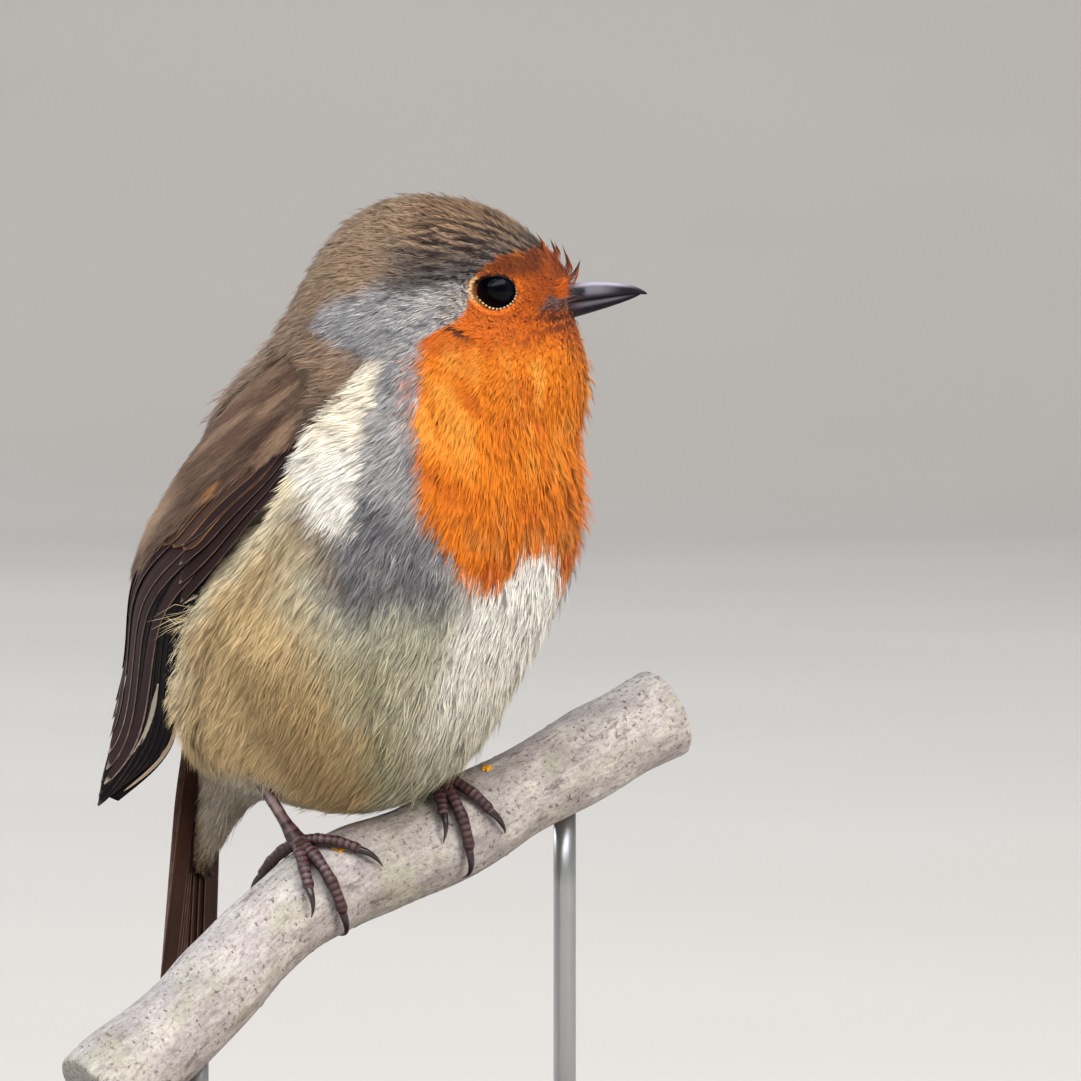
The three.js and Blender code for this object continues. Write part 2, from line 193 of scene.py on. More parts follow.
def outward(points, faces):
    # the same faces, turned over where they enclose a negative volume
    if signedVolume(points - points.mean(0), faces) < 0:
        return [block[:, ::-1] for block in faces]
    return faces


def joined(parts):
    # several closed (points, faces, tint) as one
    points, faces, tints = [], [], []
    start = 0
    for p, blocks, tint in parts:
        points.append(p)
        faces += [block + start for block in blocks]
        tints.append(tint)
        start += len(p)
    return np.vstack(points), faces, np.vstack(tints)


def addPiece(name, points, faces, material, slot, tint=None, uv=None, replaces=(), normals=None, extra=None):
    # a mesh object in metres from points in mm; tint is a colour for each point, uv its bake place, and
    # normals the directions it is shaded by, where these aren't its faces' own
    mesh = bpy.data.meshes.new(name)
    faces = [np.asarray(block, np.int32) for block in faces]
    loops = np.concatenate([block.ravel() for block in faces])
    sizes = np.concatenate([np.full(len(block), block.shape[1], np.int32) for block in faces])
    mesh.vertices.add(len(points))
    mesh.vertices.foreach_set("co", (points * 0.001).astype(np.float32).ravel())
    mesh.loops.add(len(loops))
    mesh.loops.foreach_set("vertex_index", loops)
    mesh.polygons.add(len(sizes))
    mesh.polygons.foreach_set("loop_start", np.concatenate([[0], np.cumsum(sizes)[:-1]]).astype(np.int32))
    mesh.polygons.foreach_set("use_smooth", np.ones(len(sizes), bool))
    mesh.update(calc_edges=True)
    if normals is not None:
        mesh.normals_split_custom_set_from_vertices(normals.astype(np.float32))
    if tint is not None:
        data = mesh.attributes.new("tint", "FLOAT_COLOR", "POINT")
        rgba = np.concatenate([tint, np.ones((len(tint), 1))], 1)
        data.data.foreach_set("color", rgba.astype(np.float32).ravel())
    for key, values in (extra or {}).items():
        data = mesh.attributes.new(key, "FLOAT", "POINT")
        data.data.foreach_set("value", np.asarray(values, np.float32))
    if uv is not None:
        layer = mesh.uv_layers.new(name="OFBake")
        layer.uv.foreach_set("vector", uv[loops].astype(np.float32).ravel())
    piece = bpy.data.objects.new(name, mesh)
    bpy.context.scene.collection.objects.link(piece)
    mesh.materials.append(material)
    if slot:
        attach(piece, "root")
    if replaces:
        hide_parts(*replaces)
    return piece


# materials
def addNode(tree, kind, inputs=None, stops=(), **settings):
    # one node with its settings; an input is a value or another node's output, and stops are the
    # (position, colour) pairs of a colour ramp
    node = tree.nodes.new(kind)
    for key, value in settings.items():
        setattr(node, key, value)
    for key, value in (inputs or {}).items():
        if isinstance(value, bpy.types.NodeSocket):
            tree.links.new(value, node.inputs[key])
        else:
            node.inputs[key].default_value = value
    if stops:
        elements = node.color_ramp.elements
        while len(elements) < len(stops):
            elements.new(0.5)
        for element, (position, colour) in zip(elements, stops):
            element.position, element.color = position, colour
    return node


def newMaterial(name, looks):
    # a material of one principled shader that starts from the given looks
    material = bpy.data.materials.new(name)
    material.use_nodes = True
    tree = material.node_tree
    tree.nodes.clear()
    shader = addNode(tree, "ShaderNodeBsdfPrincipled", looks)
    addNode(tree, "ShaderNodeOutputMaterial", {"Surface": shader.outputs[0]})
    return material, tree, shader


def perMillimetre(size):
    # a pattern scale on Object coordinates, which are metres, from the size of one grain in mm
    return 1000.0 / size


def featherMaterial(name, mottle, roughness, sheen):
    # contour feather barbs, dry keratin threads: matt, with a faint silky sheen and uneven pigment
    material, tree, shader = newMaterial(name, {"Roughness": roughness, "Specular IOR Level": 0.15,
                                                "Sheen Weight": sheen, "Sheen Roughness": 0.5})
    place = addNode(tree, "ShaderNodeTexCoord").outputs["Object"]
    tint = addNode(tree, "ShaderNodeAttribute", attribute_name="tint").outputs["Color"]
    noise = addNode(tree, "ShaderNodeTexNoise", {"Vector": place, "Scale": perMillimetre(1.1), "Detail": 3.0})
    shade = addNode(tree, "ShaderNodeValToRGB", {"Fac": noise.outputs["Fac"]},
                    [(0.3, (1 - mottle,) * 3 + (1,)), (0.7, (1.0,) * 4)])
    mixed = addNode(tree, "ShaderNodeMix", {0: 1.0, 6: tint, 7: shade.outputs["Color"]}, data_type="RGBA",
                    blend_type="MULTIPLY")
    tree.links.new(mixed.outputs[2], shader.inputs["Base Color"])
    return material


# the bird's form: soft masses of plumage, as in the solids
trunkFrame = Frame((0, 0, 97.3), -36)
eyeSpots = [np.mean([np.array(c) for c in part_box(f"eye_{side}")], 0) * 1000 for side in ("right", "left")]
leftward = unit(eyeSpots[1] - eyeSpots[0])
headFrame = Frame((0, 0, 0), math.degrees(math.atan2(-leftward[0], leftward[1])), 5)
eyeAt = {"forward": 0.26, "side": 6.4, "up": 0.0, "radius": 3.4, "halfLong": 2.84, "halfTall": 2.36,
         "rearRise": 0.5}
headFrame.centre = (eyeSpots[0] + eyeSpots[1]) / 2 - headFrame.turn((eyeAt["forward"], 0, eyeAt["up"]))

blendWidth = 5.0  # how softly the masses run into each other, mm
masses = [  # frame, centre and half sizes: forward, left, up
    (trunkFrame, (7.3, 0, 9), (23.2, 24.8, 29.5)),  # breast
    (trunkFrame, (-3.8, 0, -8.7), (24.4, 24.2, 27.3)),  # belly
    (trunkFrame, (-13.5, 0, -21), (16, 17.5, 12)),  # vent
    (trunkFrame, (-6.2, 0, 8.5), (21, 20, 23.5)),  # mantle
    (trunkFrame, (-19.5, 0, -11), (13, 14, 19)),  # rump
    (trunkFrame, (6.6, 0, 27), (20, 16.7, 17)),  # neck
    (headFrame, (-13.9, 0, -2.1), (13.6, 12, 16.1)),  # nape
    (headFrame, (-7.1, 0, 1.3), (13.6, 11.5, 12.1)),  # crown
    (headFrame, (2.6, 0, -1.1), (7.5, 6.9, 6.3)),  # face
    (headFrame, (2, 0, -12.4), (9.2, 9.2, 9.7)),  # throat
]
ventLine = smoothCurve([trunkFrame.world(p) for p in
                        [(-15, 0, -20), (-22.5, 0, -28.5), (-27.2, 0, -36), (-30.4, 0, -44.5)]])
ventShares = np.linspace(0, 1, 8)
ventStops = ventLine(ventShares)
ventRadii = mix(9.5, 1.2, ventShares ** 0.8)


def softMin(a, b):
    # the smaller of the two, less a parabola of their overlap where they are nearly alike
    overlap = np.maximum(blendWidth - np.abs(a - b), 0) / blendWidth
    return np.minimum(a, b) - overlap * overlap * blendWidth / 4


def plumage(p):
    # signed distance to the outer form: each ellipsoid's k(k - 1) over its slope, and the cone of
    # feathers under the tail as the nearest of a few tapering lengths, all joined by a soft minimum
    total = None
    for massFrame, centre, half in masses:
        q = (massFrame.local(p) - centre) / half
        near = np.sqrt((q * q).sum(-1))
        q = q / half
        distance = near * (near - 1) / np.maximum(np.sqrt((q * q).sum(-1)), 1e-9)
        total = distance if total is None else softMin(total, distance)
    cone = None
    for a, b, ra, rb in zip(ventStops[:-1], ventStops[1:], ventRadii[:-1], ventRadii[1:]):
        w = np.clip(((p - a) @ (b - a)) / ((b - a) @ (b - a)), 0, 1)
        away = p - a - w[..., None] * (b - a)
        distance = np.sqrt((away * away).sum(-1)) - mix(ra, rb, w)
        cone = distance if cone is None else np.minimum(cone, distance)
    return softMin(total, cone)


def slopeOf(p, step=0.15):
    # the outward direction at p: central differences of the distance
    parts = []
    for k in range(3):
        d = np.zeros(3)
        d[k] = step
        parts.append(plumage(p + d) - plumage(p - d))
    return unit(np.stack(parts, -1))


# the neck's plane: square to its normal, midway between the ends of the head and of the trunk
neckNormal = unit(np.array([0.445, 0.0, 0.895]))
headCut = np.array([10.7, 0.0, 129.5])
trunkCut = np.array([7.3, 0.0, 117.5])
billRoot = np.array([8.8, 0.0, -1.9])  # where the plumage starts from, in the head's frame


def headShare(p):
    # 1 on the head, 0 on the trunk, and a soft step across the neck
    return smooth(-7, 7, (p - (headCut + trunkCut) / 2) @ neckNormal)


# markings, the same on skin and coat
palette = tones({
    "orange": "#ec821c", "orangeDeep": "#cc621a", "orangePale": "#fbab46", "rust": "#8f3e14",
    "umber": "#5c2c16", "amber": "#c4803f",
    "grey": "#9e9d9f", "greyPale": "#d2cfcd", "greyDark": "#63646a", "slate": "#55504f",
    "white": "#fbf9f3", "cream": "#f7ecd6", "belly": "#c6c3ac", "olive": "#918c6d",
    "buff": "#dcbd8b", "buffDeep": "#998058", "buffPale": "#f4e6c4", "tan": "#dc9f63",
    "crown": "#8d7056", "crownPale": "#b3967a", "streak": "#2b2122", "mantle": "#8a715d",
    "nape": "#957d66", "rump": "#8a7560", "vent": "#bdb6a8", "down": "#4d4a50",
})
markings = {  # each edge as a line through the few places where it bends
    # by height on the trunk, the half width of the bib round the breast in degrees
    "bib": ((-6, 24), (6, 38), (18, 39), (30, 34), (35, 17)),
    # by angle round the breast, the height of the bib's hem
    "hem": ((0, 1.2), (8, 0), (14, -4.5), (22, -4), (38, 6)),
    # by place along the head, the upper limit of the orange and the lower limit of the brown cap
    "faceTop": ((-10, -6), (-4, -3), (-2, 3), (2, 5), (7, 5.6)),
    "capLow": ((-30, -6), (-24, 0), (-12, 4), (0, 5.8)),
    # by height, the angle where the back's brown begins, and the cream stripe's front and rear edge
    "back": ((-40, 172), (-12, 146), (10, 91), (20, 70), (28.5, 51), (33, 82), (42, 60)),
    "stripe": ((5, 56.5), (18, 54), (28, 46.5)),
    "stripeRear": ((0, 64), (8, 69), (14, 76), (30, 80)),
    # the dark mark on the cheek: its middle, the slope it runs down by, and its half sizes
    "cheekMark": {"at": (-5.6, -4.8), "slope": (0.77, -0.64), "half": (3.0, 0.42)},
}


def plumageColour(p):
    # layers of colour from the belly outward; angles run round the trunk from the middle of the breast
    q, t = headFrame.local(p), trunkFrame.local(p)
    x, z, h = q[:, 0], q[:, 2], t[:, 2]
    rough, fine = wobble(p, 9.0, 1.0), wobble(p, 2.6, 2.0)
    # places on the head by distance and angle from the bill, so that marks run back from it
    fromBill = q - billRoot
    rays = np.stack([0.45 * np.linalg.norm(fromBill, axis=1),
                     36 * np.arctan2(fromBill[:, 2], np.abs(fromBill[:, 1])), 0 * x], -1)
    streaks, flecks = wobble(rays, 2.4, 5.0), wobble(rays * (1.2, 0.4, 1), 1.6, 9.0)
    angle = np.degrees(np.arctan2(np.abs(t[:, 1]), t[:, 0] + 2)) + 1.2 * fine
    onHead = headShare(p)
    colour = np.tile(palette["belly"], (len(p), 1))

    def lay(name, weight):
        nonlocal colour
        colour = mix(colour, palette[name], np.clip(weight, 0, 1)[:, None])
    lay("olive", 0.85 * smooth(-6, -18, h) * smooth(26, 54, angle) * (0.8 + 0.4 * rough))
    lay("olive", 0.7 * smooth(-20, -32, h))
    lay("white", smooth(31, 18, angle + 2 * rough) * smooth(-36, -9, h) * smooth(60, 40, h))
    grey = smooth(76, 58, angle - 2.2 * np.maximum(h, 0) + 3 * rough) * smooth(-13, 0, h + 2.5 * rough)
    lay("grey", grey * smooth(10, 24, angle + 0.9 * h))
    lay("greyDark", 0.75 * grey * smooth(0.0, 0.6, rough + 0.4 * fine) * smooth(20, 30, angle))
    lay("greyDark", 0.6 * grey * smooth(11, 3, h) * smooth(26, 36, angle))
    flank = smooth(56, 96, angle + 0.8 * np.maximum(0, -h - 5) + 6 * rough) * smooth(12, 2, h)
    lay("buff", flank)
    lay("buffDeep", 0.7 * flank * smooth(-7, -19, h + 5 * rough) * smooth(114, 94, angle + 5 * rough))
    vent = smooth(-29, -33, h) * smooth(-31.5, -28, t[:, 0])
    lay("vent", 0.9 * vent * smooth(-5, -13, t[:, 0]))
    backEdge = readOff(markings["back"], h)
    # pale buff along the flank beside the back's edge, next to the wing: partly the flank's own paler buff,
    # partly a painted highlight on its rim
    besideBack = smooth(31, 14, backEdge - angle + 3 * rough)
    lay("buffPale", 0.95 * besideBack * smooth(15, 11, h) * smooth(-30, -9, h))
    stripe = smooth(-1.5, 1.5, angle - readOff(markings["stripe"], h)) * smooth(29, 27.8, h)
    stripe = stripe * smooth(2.5, 6, h + 2 * fine) * smooth(6, -2, angle - readOff(markings["stripeRear"], h))
    lay("cream", stripe)
    lay("white", 0.75 * stripe * smooth(20, 12, h))
    onBack = smooth(-1.5, 1.5, angle - backEdge) * (1 - onHead * smooth(-20, -14, x)) * (1 - vent)
    lay("mantle", onBack)
    lay("crownPale", 0.5 * onBack * smooth(0.1, 0.7, wobble(p * (1, 1, 0.4), 4.0, 6.0)))
    lay("streak", 0.4 * onBack * smooth(0.2, 0.8, wobble(p * (1, 1, 0.35), 5.0, 3.0)))
    lay("streak", 0.75 * onBack * smooth(15, 7, angle - backEdge) * smooth(2, 7, h) * smooth(27, 20, h))
    lay("rump", smooth(-1.5, 1.5, angle - backEdge) * smooth(2, -8, h) * (1 - vent))
    # the head: grey cheeks and neck sides, brown cap and nape
    lay("grey", onHead * smooth(-25, -19, x - 0.35 * z))
    lay("greyPale", 0.4 * onHead * smooth(-16, -8, x) * smooth(3, -2, z) * (0.5 + 0.5 * fine))
    lay("greyDark", 0.8 * onHead * smooth(-27, -20, x) * smooth(0.1, 0.6, flecks))
    lay("crownPale", 0.4 * onHead * smooth(-13, -6, x) * smooth(-5, -1, z) * smooth(4, 1, z) * (0.6 + fine))
    capEdge = z - readOff(markings["capLow"], x) + 0.8 * fine
    cap = smooth(-2.0, 1.6, capEdge)
    lay("slate", 0.75 * onHead * smooth(-4.5, -1.5, capEdge) * smooth(-18, -13, x) * smooth(0, -3, x))
    lay("nape", onHead * np.maximum(cap, smooth(1.2, -1.2, x + 27.7 - 1.25 * np.abs(z + 2.9))))
    lay("crown", onHead * cap * smooth(-16, -8, x + 3 * rough))
    darker = onHead * smooth(0.6, 2.8, z) * smooth(-18, -12, x)
    lay("slate", 0.72 * darker * smooth(10.5, 6.5, z + 0.8 * fine))
    dark = smooth(-0.15, 0.3, streaks) * mix(0.4, 1, smooth(14, 9, z)) * smooth(-17, -7, x)
    lay("streak", 0.9 * darker * dark)
    lay("crownPale", 0.5 * darker * smooth(-0.15, -0.5, streaks) * smooth(5, 8, z))
    # orange bib and face, deeper low down and paler in streaks
    bib = smooth(1.6, -1.6, angle - readOff(markings["bib"], h)) * smooth(36.5, 34.5, h)
    bib = bib * smooth(-0.9, 0.9, h - readOff(markings["hem"], angle) + 0.8 * fine)
    face = smooth(0.6, -0.4, z - readOff(markings["faceTop"], x) + 0.25 * fine + 0.55 * streaks)
    face = face * onHead * smooth(-11, -9.5, x) * smooth(-60, -50, z)
    orange = np.maximum(bib, face)
    bars = smooth(46, 40, angle) * smooth(16, 19, h) * smooth(30, 27, h)
    bars = bars * smooth(-0.1, 0.5, wobble(p, 1.3, 2.0))
    lay("orangeDeep", 0.6 * bars * smooth(0, 1, 1 - orange))
    lay("orange", orange)
    lay("orangeDeep", orange * (0.35 * smooth(16, 2, h + 3 * rough) + 0.6 * smooth(0.0, 0.7, rough)))
    lay("orangePale", 0.6 * orange * smooth(0.0, 0.6, wobble(p * (1, 1, 0.5), 5.0, 5.0)) * smooth(8, 18, h))
    low = wobble(p * (1, 1, 0.5), 4.0, 6.0)
    lay("amber", 0.55 * orange * smooth(10, 2, h + 2 * rough) * smooth(-0.3, 0.5, low))
    lay("orangeDeep", 0.9 * face * smooth(-10.5, -6, z + fine))
    # painted shade: deeper rust in front of and above the eye, and umber above the eye up towards the
    # forehead
    lay("rust", 0.75 * face * smooth(1.5, 6.5, x) * smooth(-5.5, -1.5, z + 0.8 * fine))
    lay("umber", 0.85 * face * smooth(1.2, 3.0, z + 0.4 * fine) * smooth(7.6, 5.2, x + 0.8 * fine))
    lay("rust", 0.6 * face * smooth(4.5, 2, np.hypot(x - 5, z + 5)) * smooth(-0.2, 0.5, flecks))
    lores = face * smooth(6.2, 7.4, x)
    lay("greyDark", 0.55 * lores * smooth(-3.6, -2.8, z) * smooth(-0.9, -1.6, z))
    lay("umber", 0.85 * lores * smooth(-3.0, -3.8, z) * smooth(-6.8, -5.4, z) * smooth(-0.5, 0.1, flecks))
    behindEye = smooth(1.42, 1.18, eyeLocal(p)[3]) * smooth(-0.5, -2.2, x)
    lay("tan", 0.9 * onHead * behindEye * smooth(2.6, 1.8, z) * smooth(-1.8, -0.8, z))
    # a dark mark where the cheek's grey meets the orange
    mark = markings["cheekMark"]
    (forward, down), a, b = mark["slope"], x - mark["at"][0], z - mark["at"][1]
    along, over = (forward * a + down * b) / mark["half"][0], (forward * b - down * a) / mark["half"][1]
    lay("streak", 0.95 * onHead * smooth(1.25, 0.6, np.hypot(along, over)))
    return colour


# skin: the form sunk by the coat's depth, with sockets that hold the eyes
def coatDepth(p):
    # how far the coat's surface stands off the skin, mm: thin on the face, deep on the belly
    q, t = headFrame.local(p), trunkFrame.local(p)
    onHead = headShare(p)
    face = smooth(13, 5, np.hypot(q[:, 0] - 5, q[:, 2] + 1))
    depth = mix(mix(1.5, 2.1, smooth(0, -25, t[:, 2])), mix(1.0, 0.45, face), onHead)
    return mix(depth, 0.8, smooth(-28, -38, t[:, 2]))


skinShape = {"rows": 236, "columns": 270, "poleGap": 0.0025}
headCore = headFrame.world(-6, 0, -2)
trunkCore = trunkFrame.world(-6, 0, -9)


def formGrid(rows, columns):
    # rays swing from straight up to straight down and all round; they leave from a core that
    # slides from the head to the trunk and stop where they come out of the plumage
    u = np.linspace(0, 1, rows)[:, None]
    v = np.arange(columns)[None] / columns
    rise = (0.5 - skinShape["poleGap"] - (1 - 2 * skinShape["poleGap"]) * u) * math.pi
    turn = 2 * math.pi * v
    ray = together(np.cos(rise) * np.cos(turn), np.cos(rise) * np.sin(turn), np.sin(rise)).reshape(-1, 3)
    core = mix(headCore, trunkCore, smooth(0.22, 0.8, u)[..., None])
    core = np.broadcast_to(core, (rows, columns, 3)).reshape(-1, 3)
    reach = np.zeros(len(ray))
    for _ in range(60):
        reach -= 0.85 * plumage(core + ray * reach[:, None])
    return core + ray * reach[:, None]


print("form")
rows, columns = skinShape["rows"], skinShape["columns"]
formPoints = formGrid(rows, columns)
formNormals = slopeOf(formPoints)


def rearLift(along):
    # the opening's rear corner sits higher than its middle: a rise that grows towards the rear
    return eyeAt["rearRise"] * np.clip(-along / eyeAt["halfLong"], 0, 1.4) ** 1.6


def eyeLocal(p):
    # across the eye's opening: forward and up from its middle, as shares of the opening's half sizes
    q = headFrame.local(p)
    a, b = q[:, 0] - eyeAt["forward"], q[:, 2] - eyeAt["up"]
    return q, a, b, np.hypot(a / eyeAt["halfLong"], (b - rearLift(a)) / eyeAt["halfTall"])


def eyeRing(p):
    # how far p is from the nearer eye's middle, in openings; large elsewhere on the head and body
    q, _, _, ring = eyeLocal(p)
    return np.where(np.abs(q[:, 1]) > 3, np.minimum(ring, 9.0), 9.0)


def sinkSockets(p):
    # round each eye the skin dips onto the ball; inside the opening it passes under the ball's surface
    for side in (-1, 1):
        q, a, b, ring = eyeLocal(p)
        near = (q[:, 1] * side > 3) & (ring < 2.2)
        onBall = eyeAt["side"] + np.sqrt(np.maximum(eyeAt["radius"] ** 2 - a * a - b * b, 0.5))
        rim = onBall + 0.05 - 1.1 * smooth(1.0, 0.75, ring)
        sunk = mix(np.minimum(rim, q[:, 1] * side), q[:, 1] * side, smooth(1.0, 1.7, ring))
        q[:, 1] = np.where(near, side * sunk, q[:, 1])
        p = headFrame.world(q)
    return p


skinPoints = sinkSockets(formPoints - formNormals * coatDepth(formPoints)[:, None])
points, faces = closedTube(skinPoints.reshape(rows, columns, 3))
# the skin takes the plumage's own colours at 0.55: partly the down's darker tone, partly painted shade under
# the coat's barbs
addPiece("skin", points, faces, featherMaterial("down_and_shade_over_skin", 0.25, 0.85, 0.0), "plumage_body",
         tint=plumageColour(points) * 0.55, replaces=("head", "neck", "trunk", "undertail"))


# coat: tufts of fine barbs that follow the lie of the plumage
def lieOf(p, n):
    # the way the coat lies: back from the bill on the head, round the eyes as water round a stone,
    # back and down on the body, with slow swirls
    q, t = headFrame.local(p), trunkFrame.local(p)
    away = unit(q - billRoot)
    away[:, 2] -= 0.22 * smooth(4, -4, q[:, 2])
    for side in (-1, 1):
        a, b = q[:, 0] - eyeAt["forward"], q[:, 2] - eyeAt["up"]
        r = np.maximum(np.hypot(a, b), 2.2)
        grip = (2.6 / r) ** 2 * (q[:, 1] * side > 2)
        radial = (away[:, 0] * a + away[:, 2] * b) / r
        away[:, 0] += grip * (away[:, 0] - 2 * radial * a / r)
        away[:, 2] += grip * (away[:, 2] - 2 * radial * b / r)
    back = mix(0.55, 1.9, smooth(0, 30, t[:, 2]))
    hang = unit(np.stack([-back, 0 * back, 0 * back - 0.866], -1))
    onBreast = smooth(58, 26, np.degrees(np.arctan2(np.abs(t[:, 1]), t[:, 0] + 2))) * smooth(-8, 6, t[:, 2])
    fromThroat = unit(t - (22.0, 0.0, 37.0))
    hang = unit(mix(hang, fromThroat, 0.9 * onBreast[:, None]))
    flow = mix(trunkFrame.turn(hang), headFrame.turn(unit(away)), headShare(p)[:, None])
    flow = unit(flow - (flow * n).sum(-1, keepdims=True) * n)
    swing = np.radians(10 * wobble(p, 16, 3.0) + 8 * wobble(p, 6, 7.0))[:, None]
    return flow * np.cos(swing) + np.cross(n, flow) * np.sin(swing)


def scatter(weights, rng):
    # how often each cell is drawn: an even comb over the running total of the weights
    total = np.cumsum(weights)
    count = int(total[-1])
    return np.searchsorted(total, (np.arange(count) + rng.random(count)) * total[-1] / count)


# each layer's values are for the body, the head and the face: tufts to a square millimetre, their
# length and half width, and a barb's own width in mm; tip is how far the fan stays open at its tips
coatShape = {
    "under": {"tufts": (0.8, 3.0, 8.0), "length": (6.3, 3.2, 1.8), "spread": (1.4, 0.62, 0.34),
              "barb": (0.19, 0.16, 0.13), "tip": 1.0, "lift": 0.0, "stray": 0.1, "stand": 0.0},
    "over": {"tufts": (1.3, 3.2, 4.5), "length": (7.0, 3.9, 2.2), "spread": (0.6, 0.3, 0.2),
             "barb": (0.12, 0.11, 0.1), "tip": 0.4, "lift": 0.08, "stray": 0.09, "stand": 0.07},
    "points": {"length": (4.6, 2.8, 1.6), "stand": (1.0, 0.6, 0.3), "spread": (0.7, 0.4, 0.25)},
    "belly": 1.2,  # how much longer the belly's tufts are
    "ridge": 0.16,  # a barb's height over its width
    "push": 1.1,  # the most that a point moves to reach its height, mm
    "upright": 0.06,  # the share of tufts whose tips stand out
}


def byPlace(p, values):
    # a value that changes softly from the body to the head and on to the face
    body, head, face = values
    q = headFrame.local(p)
    nearBill = smooth(11, 5.5, np.hypot(q[:, 0] - 5.5, q[:, 2] + 0.5))
    return mix(body, mix(head, face, nearBill), headShare(p))


grid = formPoints.reshape(rows, columns, 3)
down, across = np.diff(grid, axis=0), np.roll(grid, -1, axis=1) - grid
cellArea = np.linalg.norm(np.cross(down, across[:-1]), axis=-1).ravel()
cellMiddle = (grid[:-1] + down / 2 + across[:-1] / 2).reshape(-1, 3)


# wings: where the folded wing lies, the same sheet as in the solids
wingShape = {
    "lower": [(10, 17, 25), (4, 23.2, 14), (-5, 25.6, 3), (-16, 23, -8), (-26, 13.5, -27), (-38, 14, -36.4)],
    "upper": [(-3, 12, 31), (-17.5, 10.5, 20), (-29, 9, 5), (-34.5, 8, -9), (-38, 10.5, -22),
              (-39.6, 13.6, -35.4)],
    "bulge": 5.2,
    "long": 81,  # length and usual breadth, mm
    "broad": 25,
    # by share of the length: the breadth, the width of the bare strip before the lower edge, and the
    # lower limit of the soft feathers
    "breadth": ((0, 16), (0.1, 22), (0.2, 27), (0.3, 29), (0.5, 26), (0.7, 19), (0.8, 15), (0.9, 9.5),
                (1.0, 3)),
    "bare": ((0.06, 0), (0.1, 3.2), (0.25, 2.2), (0.42, 0.9), (0.75, 0.9)),
    "softLow": ((0, 0), (0.04, 0.1), (0.14, 0.27), (0.22, 0.37), (0.34, 0.4), (0.44, 0.5), (0.52, 0.9)),
}
lowerEdge, upperEdge = smoothCurve(wingShape["lower"]), smoothCurve(wingShape["upper"])


def wingPoint(side, s, t, lift=0.0):
    # s runs from the shoulder to the tip and t from the lower edge to the upper; the sheet bows
    # outward by sines of both, and lift raises a point off it
    s, t, lift = np.broadcast_arrays(np.asarray(s, float), t, lift)
    p = mix(lowerEdge(np.clip(s, 0, 1)), upperEdge(np.clip(s, 0, 1)), t[..., None])
    out = unit(p[..., :2] + (4, 0))
    bow = wingShape["bulge"] * np.sin(math.pi * np.clip(s, 0, 1) ** 0.8) ** 0.8 * np.sin(math.pi * t)
    out = out * (bow + lift)[..., None]
    return trunkFrame.world(p[..., 0] + out[..., 0], side * (p[..., 1] + out[..., 1]), p[..., 2])


wingS, wingT = (g.ravel() for g in np.meshgrid(np.linspace(0, 1, 60), np.linspace(0, 1, 26), indexing="ij"))
wingSamples = {side: wingPoint(side, wingS, wingT) for side in (-1, 1)}


def nearWing(p):
    # for each point the distance to the wing on its own side, and where along and across it
    found = np.zeros((len(p), 3))
    sideOf = np.where(trunkFrame.local(p)[:, 1] > 0, 1, -1)
    for side, samples in wingSamples.items():
        for block in np.array_split(np.flatnonzero(sideOf == side), max(1, len(p) // 3000)):
            gap = np.linalg.norm(p[block, None] - samples[None], axis=-1)
            best = gap.argmin(1)
            found[block] = np.stack([gap.min(1), wingS[best], wingT[best]], -1)
    return found


cellWing = nearWing(cellMiddle)
covered = (cellWing[:, 2] > 0.02) & (cellWing[:, 2] < 0.97)
covered &= (cellWing[:, 1] > 0.01) & (cellWing[:, 1] < 0.995)
# and a bare strip before the wing's lower edge, which the flank's tufts reach across
bareWidth = readOff(wingShape["bare"], cellWing[:, 1])
covered |= (cellWing[:, 2] <= 0.12) & (cellWing[:, 0] < bareWidth) & (cellWing[:, 1] < 0.75)
edgeBump = smooth(7, 1.5, cellWing[:, 0]) * (cellWing[:, 2] <= 0.12) * smooth(0.08, 0.2, cellWing[:, 1])
edgeBump = 2.3 * edgeBump * smooth(0.85, 0.7, cellWing[:, 1])


def barbMesh(p, n, thick, rng):
    # closed three-sided spindles through p, which is tufts x barbs x (root, middle, tip); they are
    # shaded by the coat's own outward direction, tipped a little to each side
    shape = p.shape[:2]
    heading = unit(p[:, :, 2] - p[:, :, 0])
    wide = unit(np.cross(n[:, None], heading))
    over = np.cross(heading, wide)
    roll = rng.normal(0, 0.25, shape)[..., None]
    wide, over = wide * np.cos(roll) + over * np.sin(roll), over * np.cos(roll) - wide * np.sin(roll)
    half = (0.5 * thick[:, None] * rng.uniform(0.7, 1.25, shape))[..., None]
    middle = p[:, :, 1]
    ring = np.stack([middle - wide * half, middle + wide * half,
                     middle + over * half * 2 * coatShape["ridge"]], 2)
    points = np.concatenate([p[:, :, :1], ring, p[:, :, 2:]], 2).reshape(-1, 3)
    facing = unit(over + 0.5 * n[:, None])
    normals = np.stack([facing, facing - 0.22 * wide, facing + 0.22 * wide, facing, facing], 2)
    triangles = np.array([(0, 1, 3), (0, 3, 2), (0, 2, 1), (4, 3, 1), (4, 2, 3), (4, 1, 2)])
    faces = (triangles[None] + 5 * np.arange(shape[0] * shape[1])[:, None, None]).reshape(-1, 3)
    return points, faces, unit(normals).reshape(-1, 3)


